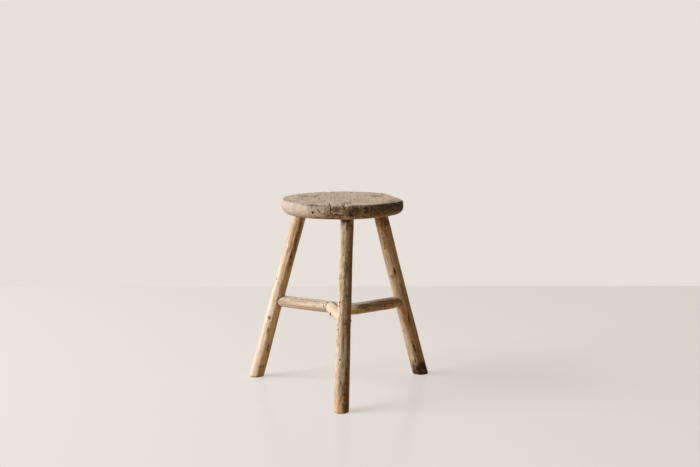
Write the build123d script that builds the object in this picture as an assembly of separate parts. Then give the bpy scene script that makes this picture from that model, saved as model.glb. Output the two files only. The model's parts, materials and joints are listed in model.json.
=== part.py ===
from build123d import *
import os

# A three-legged wooden milking stool. Millimetres, +Z up, floor at z = 0.
# The dimensions below are in a working frame with the seat's centre at x = y = 0.
# The last step moves every piece so that the origin is the middle of the footprint's box, on the floor.

# Seat: a hewn round disc with a barrel side
SEAT_TOP = 473.5
SEAT_THICKNESS = 35.0
SEAT_UNDERSIDE = SEAT_TOP - SEAT_THICKNESS
SEAT_R = 150.0  # where the side is widest
SEAT_WIDEST_DEPTH = 13.0
SEAT_R_RIM = 147.0  # the flat top's rim
SEAT_R_UNDERSIDE = 137.0
# One flat is hewn off the round, at the back on the right
SEAT_FLAT_FROM_CENTRE = 134.0
SEAT_FLAT_AZIMUTH = 17.0  # degrees from +X towards +Y

# Legs: each is a taper along an axis through two points, one on the floor and one on the seat's top
LEGS = {
    "front": {"foot": (-2.2, -245.0), "top": (12.9, -99.8), "d_foot": 35.5, "d_top": 31.0},
    "left": {"foot": (-221.4, 108.8), "top": (-91.9, 45.6), "d_foot": 36.5, "d_top": 32.0},
    "right": {"foot": (203.1, 135.9), "top": (84.0, 43.5), "d_foot": 39.5, "d_top": 35.0},
}
LEG_TENON_SHRINK = 6.0  # how much thinner a leg's tenon is than the leg under the seat
FOOT_EDGE = 1.5  # chamfer worn round the foot

# Wedges: one in the kerf of each leg's tenon
WEDGE_THICK_TOP = 4.0
WEDGE_THICK_TIP = 1.0
WEDGE_DEPTH = 27.0

# Stretchers: a naturally bent branch from the left leg to the right leg, and a rod to the front leg
BRANCH_D = 29.0
BRANCH_LEFT_Z = 202.7
BRANCH_RIGHT_Z = 197.7
BRANCH_CORNER = (21.6, -24.4, 200.0)
BRANCH_BEND_R = 40.0
ROD_D = 28.0
ROD_ROOT_SHARE = 0.738  # where the rod leaves the branch, as a share of the way from left leg to corner
ROD_FRONT_Z = 205.0
TENON_D = 18.0
TENON_PAST_AXIS = 7.0  # how far a stretcher's tenon runs on beyond the axis of what it enters

# Pegs: one through each stretcher tenon
PEG_D = 6.0
PEG_PAST_TENON = 3.0

LONG = 600.0  # longer than the stool, for cutting with


def leg_line(name):
    """The leg's axis as its foot point, on the floor, and its direction upwards."""
    leg = LEGS[name]
    foot = Vector(*leg["foot"], 0)
    top = Vector(*leg["top"], SEAT_TOP)
    return foot, (top - foot).normalized()


def on_leg(name, z):
    """The point of the leg's axis at height z."""
    foot, up = leg_line(name)
    return foot + up * (z / up.Z)


def rod(start, end, d_start, d_end=None):
    """A straight round rod or taper between two points."""
    span = end - start
    d_end = d_start if d_end is None else d_end
    at = Plane(origin=(start + end) / 2, z_dir=span)
    if d_start == d_end:
        return at * Cylinder(d_start / 2, span.length)
    return at * Cone(d_start / 2, d_end / 2, span.length)


def slab(z_low, z_high):
    """All of space between two heights, as far as the stool is concerned."""
    return Pos(0, 0, (z_low + z_high) / 2) * Box(2 * LONG, 2 * LONG, z_high - z_low)


def seat_blank():
    """The seat before its mortises are bored: a closed profile turned about the seat's axis, less the flat."""
    rim = (SEAT_R_RIM, SEAT_TOP)
    widest = (SEAT_R, SEAT_TOP - SEAT_WIDEST_DEPTH)
    low_rim = (SEAT_R_UNDERSIDE, SEAT_UNDERSIDE)
    flats = Polyline(low_rim, (0, SEAT_UNDERSIDE), (0, SEAT_TOP), rim)
    upper = TangentArc(widest, rim, tangent=(0, 1))
    lower = TangentArc(widest, low_rim, tangent=(0, -1))
    face = make_face([flats, upper, lower])
    disc = revolve(Plane.XZ * face, Axis.Z)
    beyond_flat = Pos(SEAT_FLAT_FROM_CENTRE + SEAT_R / 2, 0, SEAT_TOP) * Box(SEAT_R, 2 * SEAT_R, SEAT_R)
    return disc - Rot(0, 0, SEAT_FLAT_AZIMUTH) * beyond_flat


def leg_tenon(name):
    """The round tenon at the top of a leg, flush with the seat's top."""
    leg = LEGS[name]
    d = leg["d_top"] - LEG_TENON_SHRINK
    whole = rod(on_leg(name, SEAT_UNDERSIDE - 40), on_leg(name, SEAT_TOP + 40), d)
    return whole & slab(SEAT_UNDERSIDE, SEAT_TOP)


def leg_body(name):
    """The tapered leg under the seat, cut flat on the floor and under the seat, with a worn foot edge."""
    leg = LEGS[name]
    growth = (leg["d_foot"] - leg["d_top"]) / SEAT_UNDERSIDE
    low, high = -40, SEAT_UNDERSIDE + 40
    d_low = leg["d_foot"] - growth * low
    d_high = leg["d_foot"] - growth * high
    whole = rod(on_leg(name, low), on_leg(name, high), d_low, d_high)
    body = whole & slab(0, SEAT_UNDERSIDE)
    return chamfer(body.faces().sort_by(Axis.Z)[0].edges(), FOOT_EDGE)


def wedge(name):
    """The wedge in a leg's tenon. Its width lies along X, across the seat's grain, which runs along Y."""
    top = on_leg(name, SEAT_TOP)
    _, up = leg_line(name)
    over = 5.0  # the profile runs on above the seat, and the slab trims it flush
    spread = (WEDGE_THICK_TOP - WEDGE_THICK_TIP) / WEDGE_DEPTH
    half_high = (WEDGE_THICK_TOP + spread * over) / 2
    half_low = WEDGE_THICK_TIP / 2
    grain = Vector(0, 1, 0)
    thickness_way = (grain - up * grain.dot(up)).normalized()
    profile = Polygon(
        (-half_low, -WEDGE_DEPTH),
        (half_low, -WEDGE_DEPTH),
        (half_high, over),
        (-half_high, over),
        align=None,
    )
    at = Plane(origin=top, x_dir=thickness_way, z_dir=thickness_way.cross(up))
    plate = extrude(at * profile, amount=LEGS[name]["d_top"], both=True)
    return plate & leg_tenon(name)


def branch_corners():
    """The branch's axis: the left leg, the corner of the bend, and the right leg."""
    return on_leg("left", BRANCH_LEFT_Z), Vector(*BRANCH_CORNER), on_leg("right", BRANCH_RIGHT_Z)


def branch_body():
    """The bent branch with its natural bend as an arc, running into the middle of both side legs."""
    left, corner, right = branch_corners()
    path = FilletPolyline(left, corner, right, radius=BRANCH_BEND_R)
    section = Plane(origin=left, z_dir=corner - left) * Circle(BRANCH_D / 2)
    return sweep(section, path=path)


def tenon(target, source):
    """A blind round tenon that enters at target's axis point, coming from source."""
    along = (target - source).normalized()
    start = target - along * BRANCH_D
    return rod(start, target + along * TENON_PAST_AXIS, TENON_D)


def peg_hole(through, axis, outwards, reach):
    """A blind peg hole through the middle of a joint: axis is the peg's, from the joint outwards."""
    inner = through - axis * (TENON_D / 2 + PEG_PAST_TENON)
    return rod(inner, through + outwards * reach, PEG_D)


def one_solid(shape, name):
    """The shape's only solid, labelled, or an error if the cuts left more than one."""
    solids = shape.solids()
    if len(solids) != 1:
        raise ValueError(f"{name} came out as {len(solids)} solids")
    solids[0].label = name
    return solids[0]


def build():
    """Every piece of the stool by name, in the working frame."""
    left, corner, right = branch_corners()
    root = left + (corner - left) * ROD_ROOT_SHARE
    front = on_leg("front", ROD_FRONT_Z)

    seat = seat_blank()
    tenons = {name: leg_tenon(name) for name in LEGS}
    wedges = {name: wedge(name) for name in LEGS}
    bodies = {name: leg_body(name) for name in LEGS}

    # Where each stretcher end sits: the joint's name, the point it aims at, and the point it comes from
    ends = {"left": (left, corner), "right": (right, corner), "front": (front, root), "centre": (root, front)}
    stretcher_tenons = {joint: tenon(target, source) for joint, (target, source) in ends.items()}

    # Pegs are driven from the side away from the front, and the one at the centre from underneath
    peg_axes = {"centre": Vector(0, 0, -1)}
    for joint in LEGS:
        target, source = ends[joint]
        _, up = leg_line(joint)
        axis = up.cross(target - source).normalized()
        peg_axes[joint] = axis if axis.Y > 0 else axis * -1
    holes = {
        joint: peg_hole(ends[joint][0], axis, axis, BRANCH_D) for joint, axis in peg_axes.items()
    }

    branch = branch_body() - bodies["left"] - bodies["right"]
    branch = branch + (stretcher_tenons["left"] + stretcher_tenons["right"])
    rod_piece = rod(root, front, ROD_D) - branch_body() - bodies["front"]
    rod_piece = rod_piece + (stretcher_tenons["front"] + stretcher_tenons["centre"])

    pegs = {joint: holes[joint] & bodies[joint] for joint in LEGS}
    pegs["centre"] = holes["centre"] & branch_body()

    pieces = {"seat": seat - [tenons[name] for name in LEGS]}
    for name in LEGS:
        leg = bodies[name] + tenons[name] - wedges[name] - stretcher_tenons[name] - pegs[name]
        pieces[f"leg_{name}"] = leg
        pieces[f"wedge_{name}"] = wedges[name]
    branch = branch - stretcher_tenons["centre"]
    pieces["cross_stretcher"] = branch - pegs["left"] - pegs["right"] - pegs["centre"]
    pieces["front_stretcher"] = rod_piece - pegs["front"] - pegs["centre"]
    for joint, peg in pegs.items():
        pieces[f"peg_{joint}"] = peg
    return {name: one_solid(shape, name) for name, shape in pieces.items()}


def main():
    pieces = build()
    box = Compound(list(pieces.values())).bounding_box()
    to_origin = Pos(-(box.min.X + box.max.X) / 2, -(box.min.Y + box.max.Y) / 2, 0)
    os.makedirs("parts", exist_ok=True)
    for name, piece in pieces.items():
        export_step(to_origin * piece, f"parts/{name}.step")


main()
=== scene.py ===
import json
import math

import bpy
import numpy as np
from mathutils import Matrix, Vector


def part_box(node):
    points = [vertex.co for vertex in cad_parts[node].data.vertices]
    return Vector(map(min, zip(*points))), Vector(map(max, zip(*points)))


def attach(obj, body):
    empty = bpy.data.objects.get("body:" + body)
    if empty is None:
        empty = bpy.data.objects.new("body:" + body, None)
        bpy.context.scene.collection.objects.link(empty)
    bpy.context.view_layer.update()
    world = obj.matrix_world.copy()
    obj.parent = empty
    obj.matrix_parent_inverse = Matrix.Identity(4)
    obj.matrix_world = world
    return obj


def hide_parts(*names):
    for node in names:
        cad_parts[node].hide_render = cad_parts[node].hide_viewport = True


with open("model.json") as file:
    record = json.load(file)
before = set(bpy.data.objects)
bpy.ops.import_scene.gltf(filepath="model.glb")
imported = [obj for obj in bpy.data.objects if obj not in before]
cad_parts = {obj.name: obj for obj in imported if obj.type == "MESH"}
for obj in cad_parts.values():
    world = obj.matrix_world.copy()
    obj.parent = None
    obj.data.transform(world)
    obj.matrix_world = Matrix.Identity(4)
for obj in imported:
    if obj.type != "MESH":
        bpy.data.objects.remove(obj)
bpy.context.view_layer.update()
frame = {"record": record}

# A weathered three-legged milking stool, in metres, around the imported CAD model.
# Angles round a leg: 0 is +X, 90 is +Y, -90 is the front (-Y). Azimuths round the seat are the same.
# Angles round a stretcher: 0 is the top, 90 is the side that faces the front.
# Heights are above the floor. Marks are (height, angle, ...) on legs and (distance along, angle, ...) on stretchers.

MM = 0.001
MOUNTS = {mount["name"]: np.array(mount["pos_m"]) for mount in frame["record"]["mounts"]}
SEAT_CENTRE = MOUNTS["seat_top"]
SEAT_TOP = SEAT_CENTRE[2]
SEAT_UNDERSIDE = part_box("seat")[0].z
SEAT_THICKNESS = SEAT_TOP - SEAT_UNDERSIDE
SEAT_R = (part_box("seat")[1].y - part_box("seat")[0].y) / 2

# The seat's section, measured in from its widest radius: a barrel side between two worn edges
SEAT_WIDEST_DEPTH = 13 * MM
SEAT_RIM_INSET = 3 * MM
SEAT_LOW_INSET = 13 * MM
SEAT_TOP_ROUND = 1.3 * MM
SEAT_LOW_ROUND = 4 * MM
SEAT_FLAT_FROM_CENTRE = 134 * MM
SEAT_FLAT_AZIMUTH = 17
SEAT_GRID = 176  # cells across the top
SEAT_SIDE_ROWS = 34

# Legs: radius at the floor and under the seat, the first facet's angle, how many facets, and the bow
LEGS = {
    "front": {"foot_r": 17.7 * MM, "top_r": 15.5 * MM, "facet": -170, "facets": 8, "hewn": 0.986, "twist": 80, "bow": -0.3 * MM, "seed": 11},
    "left": {"foot_r": 18.2 * MM, "top_r": 15.7 * MM, "facet": -104, "facets": 9, "hewn": 0.976, "twist": 15, "bow": -1.0 * MM, "seed": 23},
    "right": {"foot_r": 19.6 * MM, "top_r": 17.4 * MM, "facet": -132, "facets": 8, "hewn": 0.982, "twist": -20, "bow": -1.4 * MM, "seed": 37},
}
LEG_TENON_SHRINK = 3 * MM
LEG_AROUND = 96
LEG_STEP = 1.25 * MM
FOOT_ROUND = 3.2 * MM

# Stretchers
BRANCH_HEIGHTS = {"left": 202.7 * MM, "right": 197.7 * MM}
BRANCH_CORNER = SEAT_CENTRE + np.array([21.6 * MM, -24.4 * MM, 200 * MM - SEAT_TOP])
BRANCH_BEND_R = 40 * MM
BRANCH_R = 14.5 * MM
ROD_R = 14.2 * MM
ROD_ROOT_SHARE = 0.738
ROD_FRONT_HEIGHT = 205 * MM
BAR_AROUND = 84
BAR_STEP = 1.1 * MM
STRETCHER_TENON_R = 9 * MM
TENON_PAST_AXIS = 7 * MM
PEG_R = 3 * MM
PEG_PAST_TENON = 3 * MM
PEG_PROUD = 0.8 * MM
GAP = 0.12 * MM  # what a hole is wider than what stands in it


# ---------------------------------------------------------------- noise and small maths

def hashed(cells, seed):
    """A fixed pseudo-random number from -1 to 1 for each whole-number cell."""
    mixed = cells[..., 0] * 73856093 ^ cells[..., 1] * 19349663 ^ cells[..., 2] * 83492791 ^ seed * 40503
    mixed = (mixed ^ mixed >> 13) * 1274126177 & 0xFFFFFFFF
    return ((mixed ^ mixed >> 16) & 0xFFFF) / 32767.5 - 1


def noise(points, seed):
    """Smooth noise from about -1 to 1 with features one unit across."""
    cell = np.floor(points).astype(np.int64)
    share = points - cell
    share = share * share * (3 - 2 * share)
    total = 0
    for corner in np.ndindex(2, 2, 2):
        corner = np.array(corner)
        weight = np.prod(np.where(corner, share, 1 - share), axis=-1)
        total = total + weight * hashed(cell + corner, seed)
    return total


def rough(points, seed, octaves=3):
    """Noise with finer noise on top, each octave half as strong and twice as fine."""
    return sum(noise(points * 2**k, seed + k) / 2**k for k in range(octaves))


def smooth(low, high, value):
    """0 below low, 1 above high, and an even curve between."""
    share = np.clip((value - low) / (high - low), 0, 1)
    return share * share * (3 - 2 * share)


def soft_min(a, b, softness):
    """The lower of two values, rounded off where they cross."""
    return -softness * np.logaddexp(-a / softness, -b / softness)


def unit(vector):
    return vector / np.linalg.norm(vector)


def square_to(axis, towards):
    """Two unit vectors square to axis and to each other, the first as near as can be to towards."""
    first = unit(towards - axis * (axis @ towards))
    return first, np.cross(axis, first)


def turn_between(angle, target):
    """The signed difference of two angles in degrees, from -180 to 180."""
    return (angle - target + 180) % 360 - 180


# ---------------------------------------------------------------- meshes

def new_object(name, vertices, faces):
    mesh = bpy.data.meshes.new(name)
    mesh.from_pydata(np.asarray(vertices).tolist(), [], faces)
    mesh.update()
    made = bpy.data.objects.new(name, mesh)
    bpy.context.collection.objects.link(made)
    return made


def skin(name, rings):
    """A closed mesh over rings of points, each ring with the same count, with a fan over each end."""
    rows, around = rings.shape[:2]
    vertices = np.concatenate([rings.reshape(-1, 3), [rings[0].mean(0)], [rings[-1].mean(0)]])
    start, end = rows * around, rows * around + 1
    here = np.arange(around)
    after = (here + 1) % around
    faces = [[start, b, a] for a, b in zip(here.tolist(), after.tolist())]
    for row in range(rows - 1):
        low, high = row * around, (row + 1) * around
        faces += np.stack([low + here, low + after, high + after, high + here], 1).tolist()
    last = (rows - 1) * around
    faces += [[end, last + a, last + b] for a, b in zip(here.tolist(), after.tolist())]
    return new_object(name, vertices, faces)


def points_of(piece):
    points = np.empty(len(piece.data.vertices) * 3)
    piece.data.vertices.foreach_get("co", points)
    return points.reshape(-1, 3)


def normals_of(piece):
    normals = np.empty(len(piece.data.vertices) * 3, np.float32)
    piece.data.vertex_normals.foreach_get("vector", normals)
    return normals.reshape(-1, 3)


def push_out(piece, heights):
    """Moves each vertex along its normal."""
    points = points_of(piece) + normals_of(piece) * heights[:, None]
    piece.data.vertices.foreach_set("co", points.ravel())
    piece.data.update()


def combine(piece, others, operation):
    """Applies one boolean with each of the others in turn, and removes them."""
    for other in others:
        modifier = piece.modifiers.new(operation, "BOOLEAN")
        modifier.operation = operation
        modifier.solver = "MANIFOLD"
        modifier.object = other
        graph = bpy.context.evaluated_depsgraph_get()
        mesh = bpy.data.meshes.new_from_object(piece.evaluated_get(graph))
        piece.modifiers.clear()
        piece.data = mesh
        bpy.data.objects.remove(other)
    return piece


def copy_of(piece):
    copy = bpy.data.objects.new(piece.name + "_copy", piece.data.copy())
    bpy.context.collection.objects.link(copy)
    return copy


def joined(name, parts):
    """One object from several (vertices, faces) parts that don't touch each other."""
    vertices, faces = [], []
    for part_vertices, part_faces in parts:
        first = len(vertices)
        vertices += [list(v) for v in part_vertices]
        faces += [[first + i for i in face] for face in part_faces]
    return new_object(name, vertices, faces)


def round_bar(start, end, start_r, end_r=None, sides=32):
    """The vertices and faces of a plain round bar, for cutting and joining."""
    end_r = start_r if end_r is None else end_r
    first, second = square_to(unit(end - start), np.array([0.37, 0.21, 0.9]))
    turns = np.linspace(0, 2 * np.pi, sides, endpoint=False)
    circle = np.outer(np.cos(turns), first) + np.outer(np.sin(turns), second)
    vertices = np.concatenate([start + circle * start_r, end + circle * end_r])
    here = list(range(sides))
    faces = [here[::-1], [sides + i for i in here]]
    faces += [[i, (i + 1) % sides, sides + (i + 1) % sides, sides + i] for i in here]
    return vertices, faces


def crack_blade(path, outward, width, depth, seed):
    """A thin wavy wedge along a path on a surface: taking it away leaves a crack that closes at both ends."""
    path, outward = np.asarray(path, float), np.asarray(outward, float)
    count = max(8, int(np.linalg.norm(np.diff(path, axis=0), axis=1).sum() / (1.6 * MM)))
    share = np.linspace(0, 1, count)
    knots = np.linspace(0, 1, len(path))
    path = np.stack([np.interp(share, knots, path[:, k]) for k in range(3)], 1)
    outward = np.stack([np.interp(share, knots, outward[:, k]) for k in range(3)], 1)
    outward /= np.linalg.norm(outward, axis=1)[:, None]
    along = np.gradient(path, axis=0)
    sideways = np.cross(along, outward)
    sideways /= np.linalg.norm(sideways, axis=1)[:, None]
    wander = noise(np.stack([share * count / 3, share * 0, share * 0], 1), seed) * 0.7 * MM
    path = path + sideways * wander[:, None]
    open_share = np.sqrt(np.sin(np.pi * np.clip(share, 0.02, 0.98)))
    uneven = 1 + 0.35 * noise(np.stack([share * count / 3, share * 0, share * 0], 1), seed + 1)
    half = (width / 2 * open_share * uneven)[:, None]
    above = 2.6 * MM
    lean = 1 + above / depth
    left = path + outward * above - sideways * half * lean
    right = path + outward * above + sideways * half * lean
    bottom = path - outward * (depth * open_share)[:, None]
    vertices = np.stack([left, right, bottom], 1).reshape(-1, 3)
    faces = [[2, 1, 0], [3 * count - 3, 3 * count - 2, 3 * count - 1]]
    for row in range(count - 1):
        a, b = 3 * row, 3 * row + 3
        faces += [[a, a + 1, b + 1, b], [a + 1, a + 2, b + 2, b + 1], [a + 2, a, b, b + 2]]
    return vertices, faces


def pit(point, outward, radius, depth, seed):
    """A worm's hole: a short, slightly leaning bar sunk into the surface."""
    lean = hashed(np.array([[seed, 1, 0], [seed, 2, 0], [seed, 3, 0]]), seed) * 0.25
    way = unit(outward + lean)
    return round_bar(point + way * 1.5 * MM, point - way * depth, radius * 1.15, radius * 0.7, 12)


# ---------------------------------------------------------------- centre lines

def top_of(node):
    """The middle of a CAD node's highest face."""
    points = points_of(bpy.data.objects[node])
    highest = points[points[:, 2] > points[:, 2].max() - 1e-5]
    return (highest.min(0) + highest.max(0)) / 2


class Leg:
    """A leg's centre line from the frame, and its surface as a radius at each height and angle."""

    def __init__(self, name):
        self.look = LEGS[name]
        self.foot = MOUNTS[f"foot_{name}"]
        self.top = top_of(f"leg_{name}")
        self.up = unit(self.top - self.foot)
        self.right, self.back = square_to(self.up, np.array([1.0, 0, 0]))

    @property
    def tenon_r(self):
        return self.look["top_r"] - LEG_TENON_SHRINK

    def centre(self, height):
        """Points of the bowed centre line at the given heights."""
        height = np.asarray(height, float)
        share = np.clip(height / SEAT_UNDERSIDE, 0, 1)
        bow = np.sin(np.pi * share) * self.look["bow"]
        wave = np.sin(2 * np.pi * share + self.look["seed"]) * 0.5 * MM * np.sin(np.pi * share)
        line = self.foot + self.up * (height / self.up[2])[..., None]
        return line + self.right * bow[..., None] + self.back * wave[..., None]

    def outward(self, angle):
        turn = np.radians(angle)
        return np.cos(turn)[..., None] * self.right + np.sin(turn)[..., None] * self.back

    def at(self, height, angle, radius=None):
        """Points on the surface, or at a given radius, all at exactly the given heights."""
        height, angle = np.broadcast_arrays(np.asarray(height, float), np.asarray(angle, float))
        radius = self.radius(height, angle) if radius is None else radius
        step = self.outward(angle) * np.asarray(radius)[..., None]
        level = self.up * (step[..., 2] / self.up[2])[..., None]
        return self.centre(height) + step - level

    def grain(self, points):
        """Straightened coordinates: two across the leg and one along it."""
        along = (points - self.foot) @ self.up
        off = points - self.centre(points[:, 2])
        return np.stack([off @ self.right, off @ self.back, along], 1)

    def radius(self, height, angle):
        look = self.look
        plain = look["foot_r"] + (look["top_r"] - look["foot_r"]) * np.clip(height / SEAT_UNDERSIDE, 0, 1)
        turn = np.radians(angle)
        spot = np.stack([np.cos(turn) * plain, np.sin(turn) * plain, height + 0 * turn], -1)
        seed = look["seed"]
        hewn = np.full_like(plain + turn, 1.0)
        step = 360 / look["facets"]
        for k in range(look["facets"]):
            facing = look["facet"] + step * k + 3 * np.sin(seed + 2.3 * k) + look["twist"] * (height - 0.3)
            drift = noise(np.stack([height / 0.11 + k * 7.3, height * 0, height * 0], -1), seed + k)
            flat = plain * (look["hewn"] + 0.016 * drift)
            away = np.radians(turn_between(angle + 3 * drift, facing))
            hewn = np.minimum(hewn, flat / np.maximum(np.cos(away), 0.2))
        surface = soft_min(hewn, plain * 1.022, 0.22 * MM)
        surface = surface + 0.45 * MM * noise(spot / [0.02, 0.02, 0.06], seed + 31)
        surface = surface + 0.22 * MM * noise(spot / [0.006, 0.006, 0.03], seed + 32)
        surface = surface + 0.10 * MM * noise(spot / [0.0028, 0.0028, 0.02], seed + 33)
        for knot_height, knot_angle, size, rise in KNOTS.get(look["seed"], []):
            beside = np.radians(turn_between(angle, knot_angle)) * plain
            distance = np.hypot(beside, (height - knot_height) / 1.5) / size
            surface = surface + rise * np.exp(-distance**2) * np.cos(distance * 2.2)
        foot_share = np.clip(1 - height / FOOT_ROUND, 0, 1)
        surface = surface - 0.8 * FOOT_ROUND * (1 - np.sqrt(1 - foot_share**2 * 0.96))
        return surface


# Knots on the legs by the leg's seed: height, angle, size, rise
KNOTS = {
    11: [(0.430, -95, 9 * MM, 0.8 * MM), (0.247, 60, 7 * MM, 1.2 * MM)],
    23: [(0.161, -115, 6 * MM, 0.9 * MM), (0.330, 95, 8 * MM, 1.3 * MM), (0.07, -50, 7 * MM, 0.8 * MM)],
    37: [(0.268, -125, 7 * MM, 1.1 * MM), (0.238, -100, 9 * MM, 0.9 * MM), (0.35, 80, 8 * MM, 1.2 * MM)],
}


class Bar:
    """A stretcher's centre line, straight or with one bend, and its surface as a radius."""

    def __init__(self, corners, bend_r, radii, seed, knots=()):
        self.radii, self.seed, self.knots = radii, seed, knots
        points = [corners[0]]
        if len(corners) == 3:
            points += self.bend(*corners, bend_r)
        points.append(corners[-1])
        lengths = np.concatenate([[0], np.cumsum(np.linalg.norm(np.diff(points, axis=0), axis=1))])
        self.length = lengths[-1]
        self.steps = np.linspace(0, self.length, int(self.length / BAR_STEP))
        self.line = np.stack([np.interp(self.steps, lengths, np.array(points)[:, k]) for k in range(3)], 1)
        self.tangent = np.gradient(self.line, axis=0)
        self.tangent /= np.linalg.norm(self.tangent, axis=1)[:, None]
        level = np.array([0, 0, 1.0]) - self.tangent * self.tangent[:, 2:]
        self.up = level / np.linalg.norm(level, axis=1)[:, None]
        self.side = np.cross(self.tangent, self.up)

    @staticmethod
    def bend(start, corner, end, radius):
        """Points of the arc that rounds the corner off."""
        before, after = unit(start - corner), unit(end - corner)
        half = math.acos(before @ after) / 2
        middle = corner + unit(before + after) * radius / math.sin(half)
        low, high = corner + before * radius / math.tan(half), corner + after * radius / math.tan(half)
        swing = math.pi - 2 * half
        share = np.linspace(0, 1, 40)[:, None]
        from_low, from_high = low - middle, high - middle
        arc = (np.sin((1 - share) * swing) * from_low + np.sin(share * swing) * from_high) / math.sin(swing)
        return list(middle + arc)

    def row(self, along):
        return np.clip(np.rint(np.asarray(along) / self.length * (len(self.steps) - 1)).astype(int),
                       0, len(self.steps) - 1)

    def outward(self, along, angle):
        row, turn = self.row(along), np.radians(np.asarray(angle, float))[..., None]
        return np.cos(turn) * self.up[row] + np.sin(turn) * self.side[row]

    def at(self, along, angle):
        along, angle = np.broadcast_arrays(np.asarray(along, float), np.asarray(angle, float))
        return self.line[self.row(along)] + self.outward(along, angle) * self.radius(along, angle)[..., None]

    def radius(self, along, angle):
        share = along / self.length
        plain = self.radii[0] + (self.radii[1] - self.radii[0]) * share
        turn = np.radians(angle)
        spot = np.stack([np.cos(turn) * plain, np.sin(turn) * plain, along + 0 * turn], -1)
        hewn = np.full_like(plain + turn, 1.0)
        for k in range(8):
            facing = 20 + 45 * k + 9 * np.sin(self.seed + 1.7 * k)
            drift = noise(np.stack([along / 0.09 + k * 5.1, along * 0, along * 0], -1), self.seed + k)
            away = np.radians(turn_between(angle + 4 * drift, facing))
            hewn = np.minimum(hewn, plain * (0.970 + 0.025 * drift) / np.maximum(np.cos(away), 0.2))
        surface = soft_min(hewn, plain * 1.02, 0.12 * MM)
        surface = surface + 0.4 * MM * noise(spot / [0.02, 0.02, 0.05], self.seed + 31)
        surface = surface + 0.2 * MM * noise(spot / [0.005, 0.005, 0.03], self.seed + 32)
        surface = surface + 0.1 * MM * noise(spot / [0.0026, 0.0026, 0.02], self.seed + 33)
        for knot_along, knot_angle, size, rise in self.knots:
            beside = np.radians(turn_between(angle, knot_angle)) * plain
            distance = np.hypot(beside, (along - knot_along) / 1.4) / size
            surface = surface + rise * np.exp(-distance**2) * np.cos(distance * 2.0)
        return surface

    def mesh(self, name):
        angles = np.linspace(0, 360, BAR_AROUND, endpoint=False)
        along, angle = np.meshgrid(self.steps, angles, indexing="ij")
        return skin(name, self.at(along, angle))

    def grain(self, points):
        """Straightened coordinates: two across the bar and one along it."""
        found = np.zeros(len(points), int)
        for part in np.array_split(np.arange(len(points)), max(1, len(points) // 4000)):
            gaps = points[part, None, :] - self.line[None, ::3, :]
            found[part] = np.argmin((gaps**2).sum(-1), axis=1) * 3
        off = points - self.line[found]
        along = self.steps[found] + (off * self.tangent[found]).sum(1)
        return np.stack([(off * self.up[found]).sum(1), (off * self.side[found]).sum(1), along], 1)


# ---------------------------------------------------------------- the seat

def seat_section():
    """The seat's side from the top's rim to the underside's rim, as evenly spaced (inset, depth)."""
    depths = np.linspace(0, SEAT_THICKNESS, 400)
    upper_r = (SEAT_WIDEST_DEPTH**2 + SEAT_RIM_INSET**2) / (2 * SEAT_RIM_INSET)
    low_height = SEAT_THICKNESS - SEAT_WIDEST_DEPTH
    lower_r = (low_height**2 + SEAT_LOW_INSET**2) / (2 * SEAT_LOW_INSET)
    away = depths - SEAT_WIDEST_DEPTH
    curve_r = np.where(away < 0, upper_r, lower_r)
    inset = curve_r - np.sqrt(curve_r**2 - away**2)
    top = np.clip(1 - depths / SEAT_TOP_ROUND, 0, 1)
    low = np.clip(1 - (SEAT_THICKNESS - depths) / SEAT_LOW_ROUND, 0, 1)
    worn = SEAT_TOP_ROUND * (1 - np.sqrt(1 - top**2)) + SEAT_LOW_ROUND * (1 - np.sqrt(1 - low**2))
    lengths = np.concatenate([[0], np.cumsum(np.hypot(np.diff(inset + worn), np.diff(depths)))])
    even = np.linspace(0, lengths[-1], SEAT_SIDE_ROWS)
    return [np.interp(even, lengths, values) for values in (inset, worn, depths)]


def seat_radius(azimuth, inset, worn):
    """The seat's radius at an azimuth: round with a little wobble and hewn facets, and one flat."""
    turn = np.radians(azimuth)
    wobble = 0.9 * MM * np.sin(2 * turn + 0.6) + 0.6 * MM * np.sin(3 * turn + 2.0)
    corner = 2.0 * MM * np.exp(-((turn_between(azimuth, -10) / 14) ** 2))
    plain = SEAT_R + 0.2 * MM + wobble + corner - inset - worn
    for k in range(19):
        facing = k * 360 / 19 + 5 * math.sin(3.1 * k)
        away = np.radians(turn_between(azimuth, facing))
        hewn = SEAT_R - 0.9 * MM + 1.2 * MM * math.sin(5.3 * k) + corner
        flat = (hewn - inset - worn) / np.maximum(np.cos(away), 0.3)
        plain = soft_min(plain, flat, 0.25 * MM)
    away = np.radians(turn_between(azimuth, SEAT_FLAT_AZIMUTH))
    flat = (SEAT_FLAT_FROM_CENTRE - worn - 0.25 * inset) / np.maximum(np.cos(away), 0.3)
    return soft_min(plain, flat, 0.3 * MM)


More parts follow.
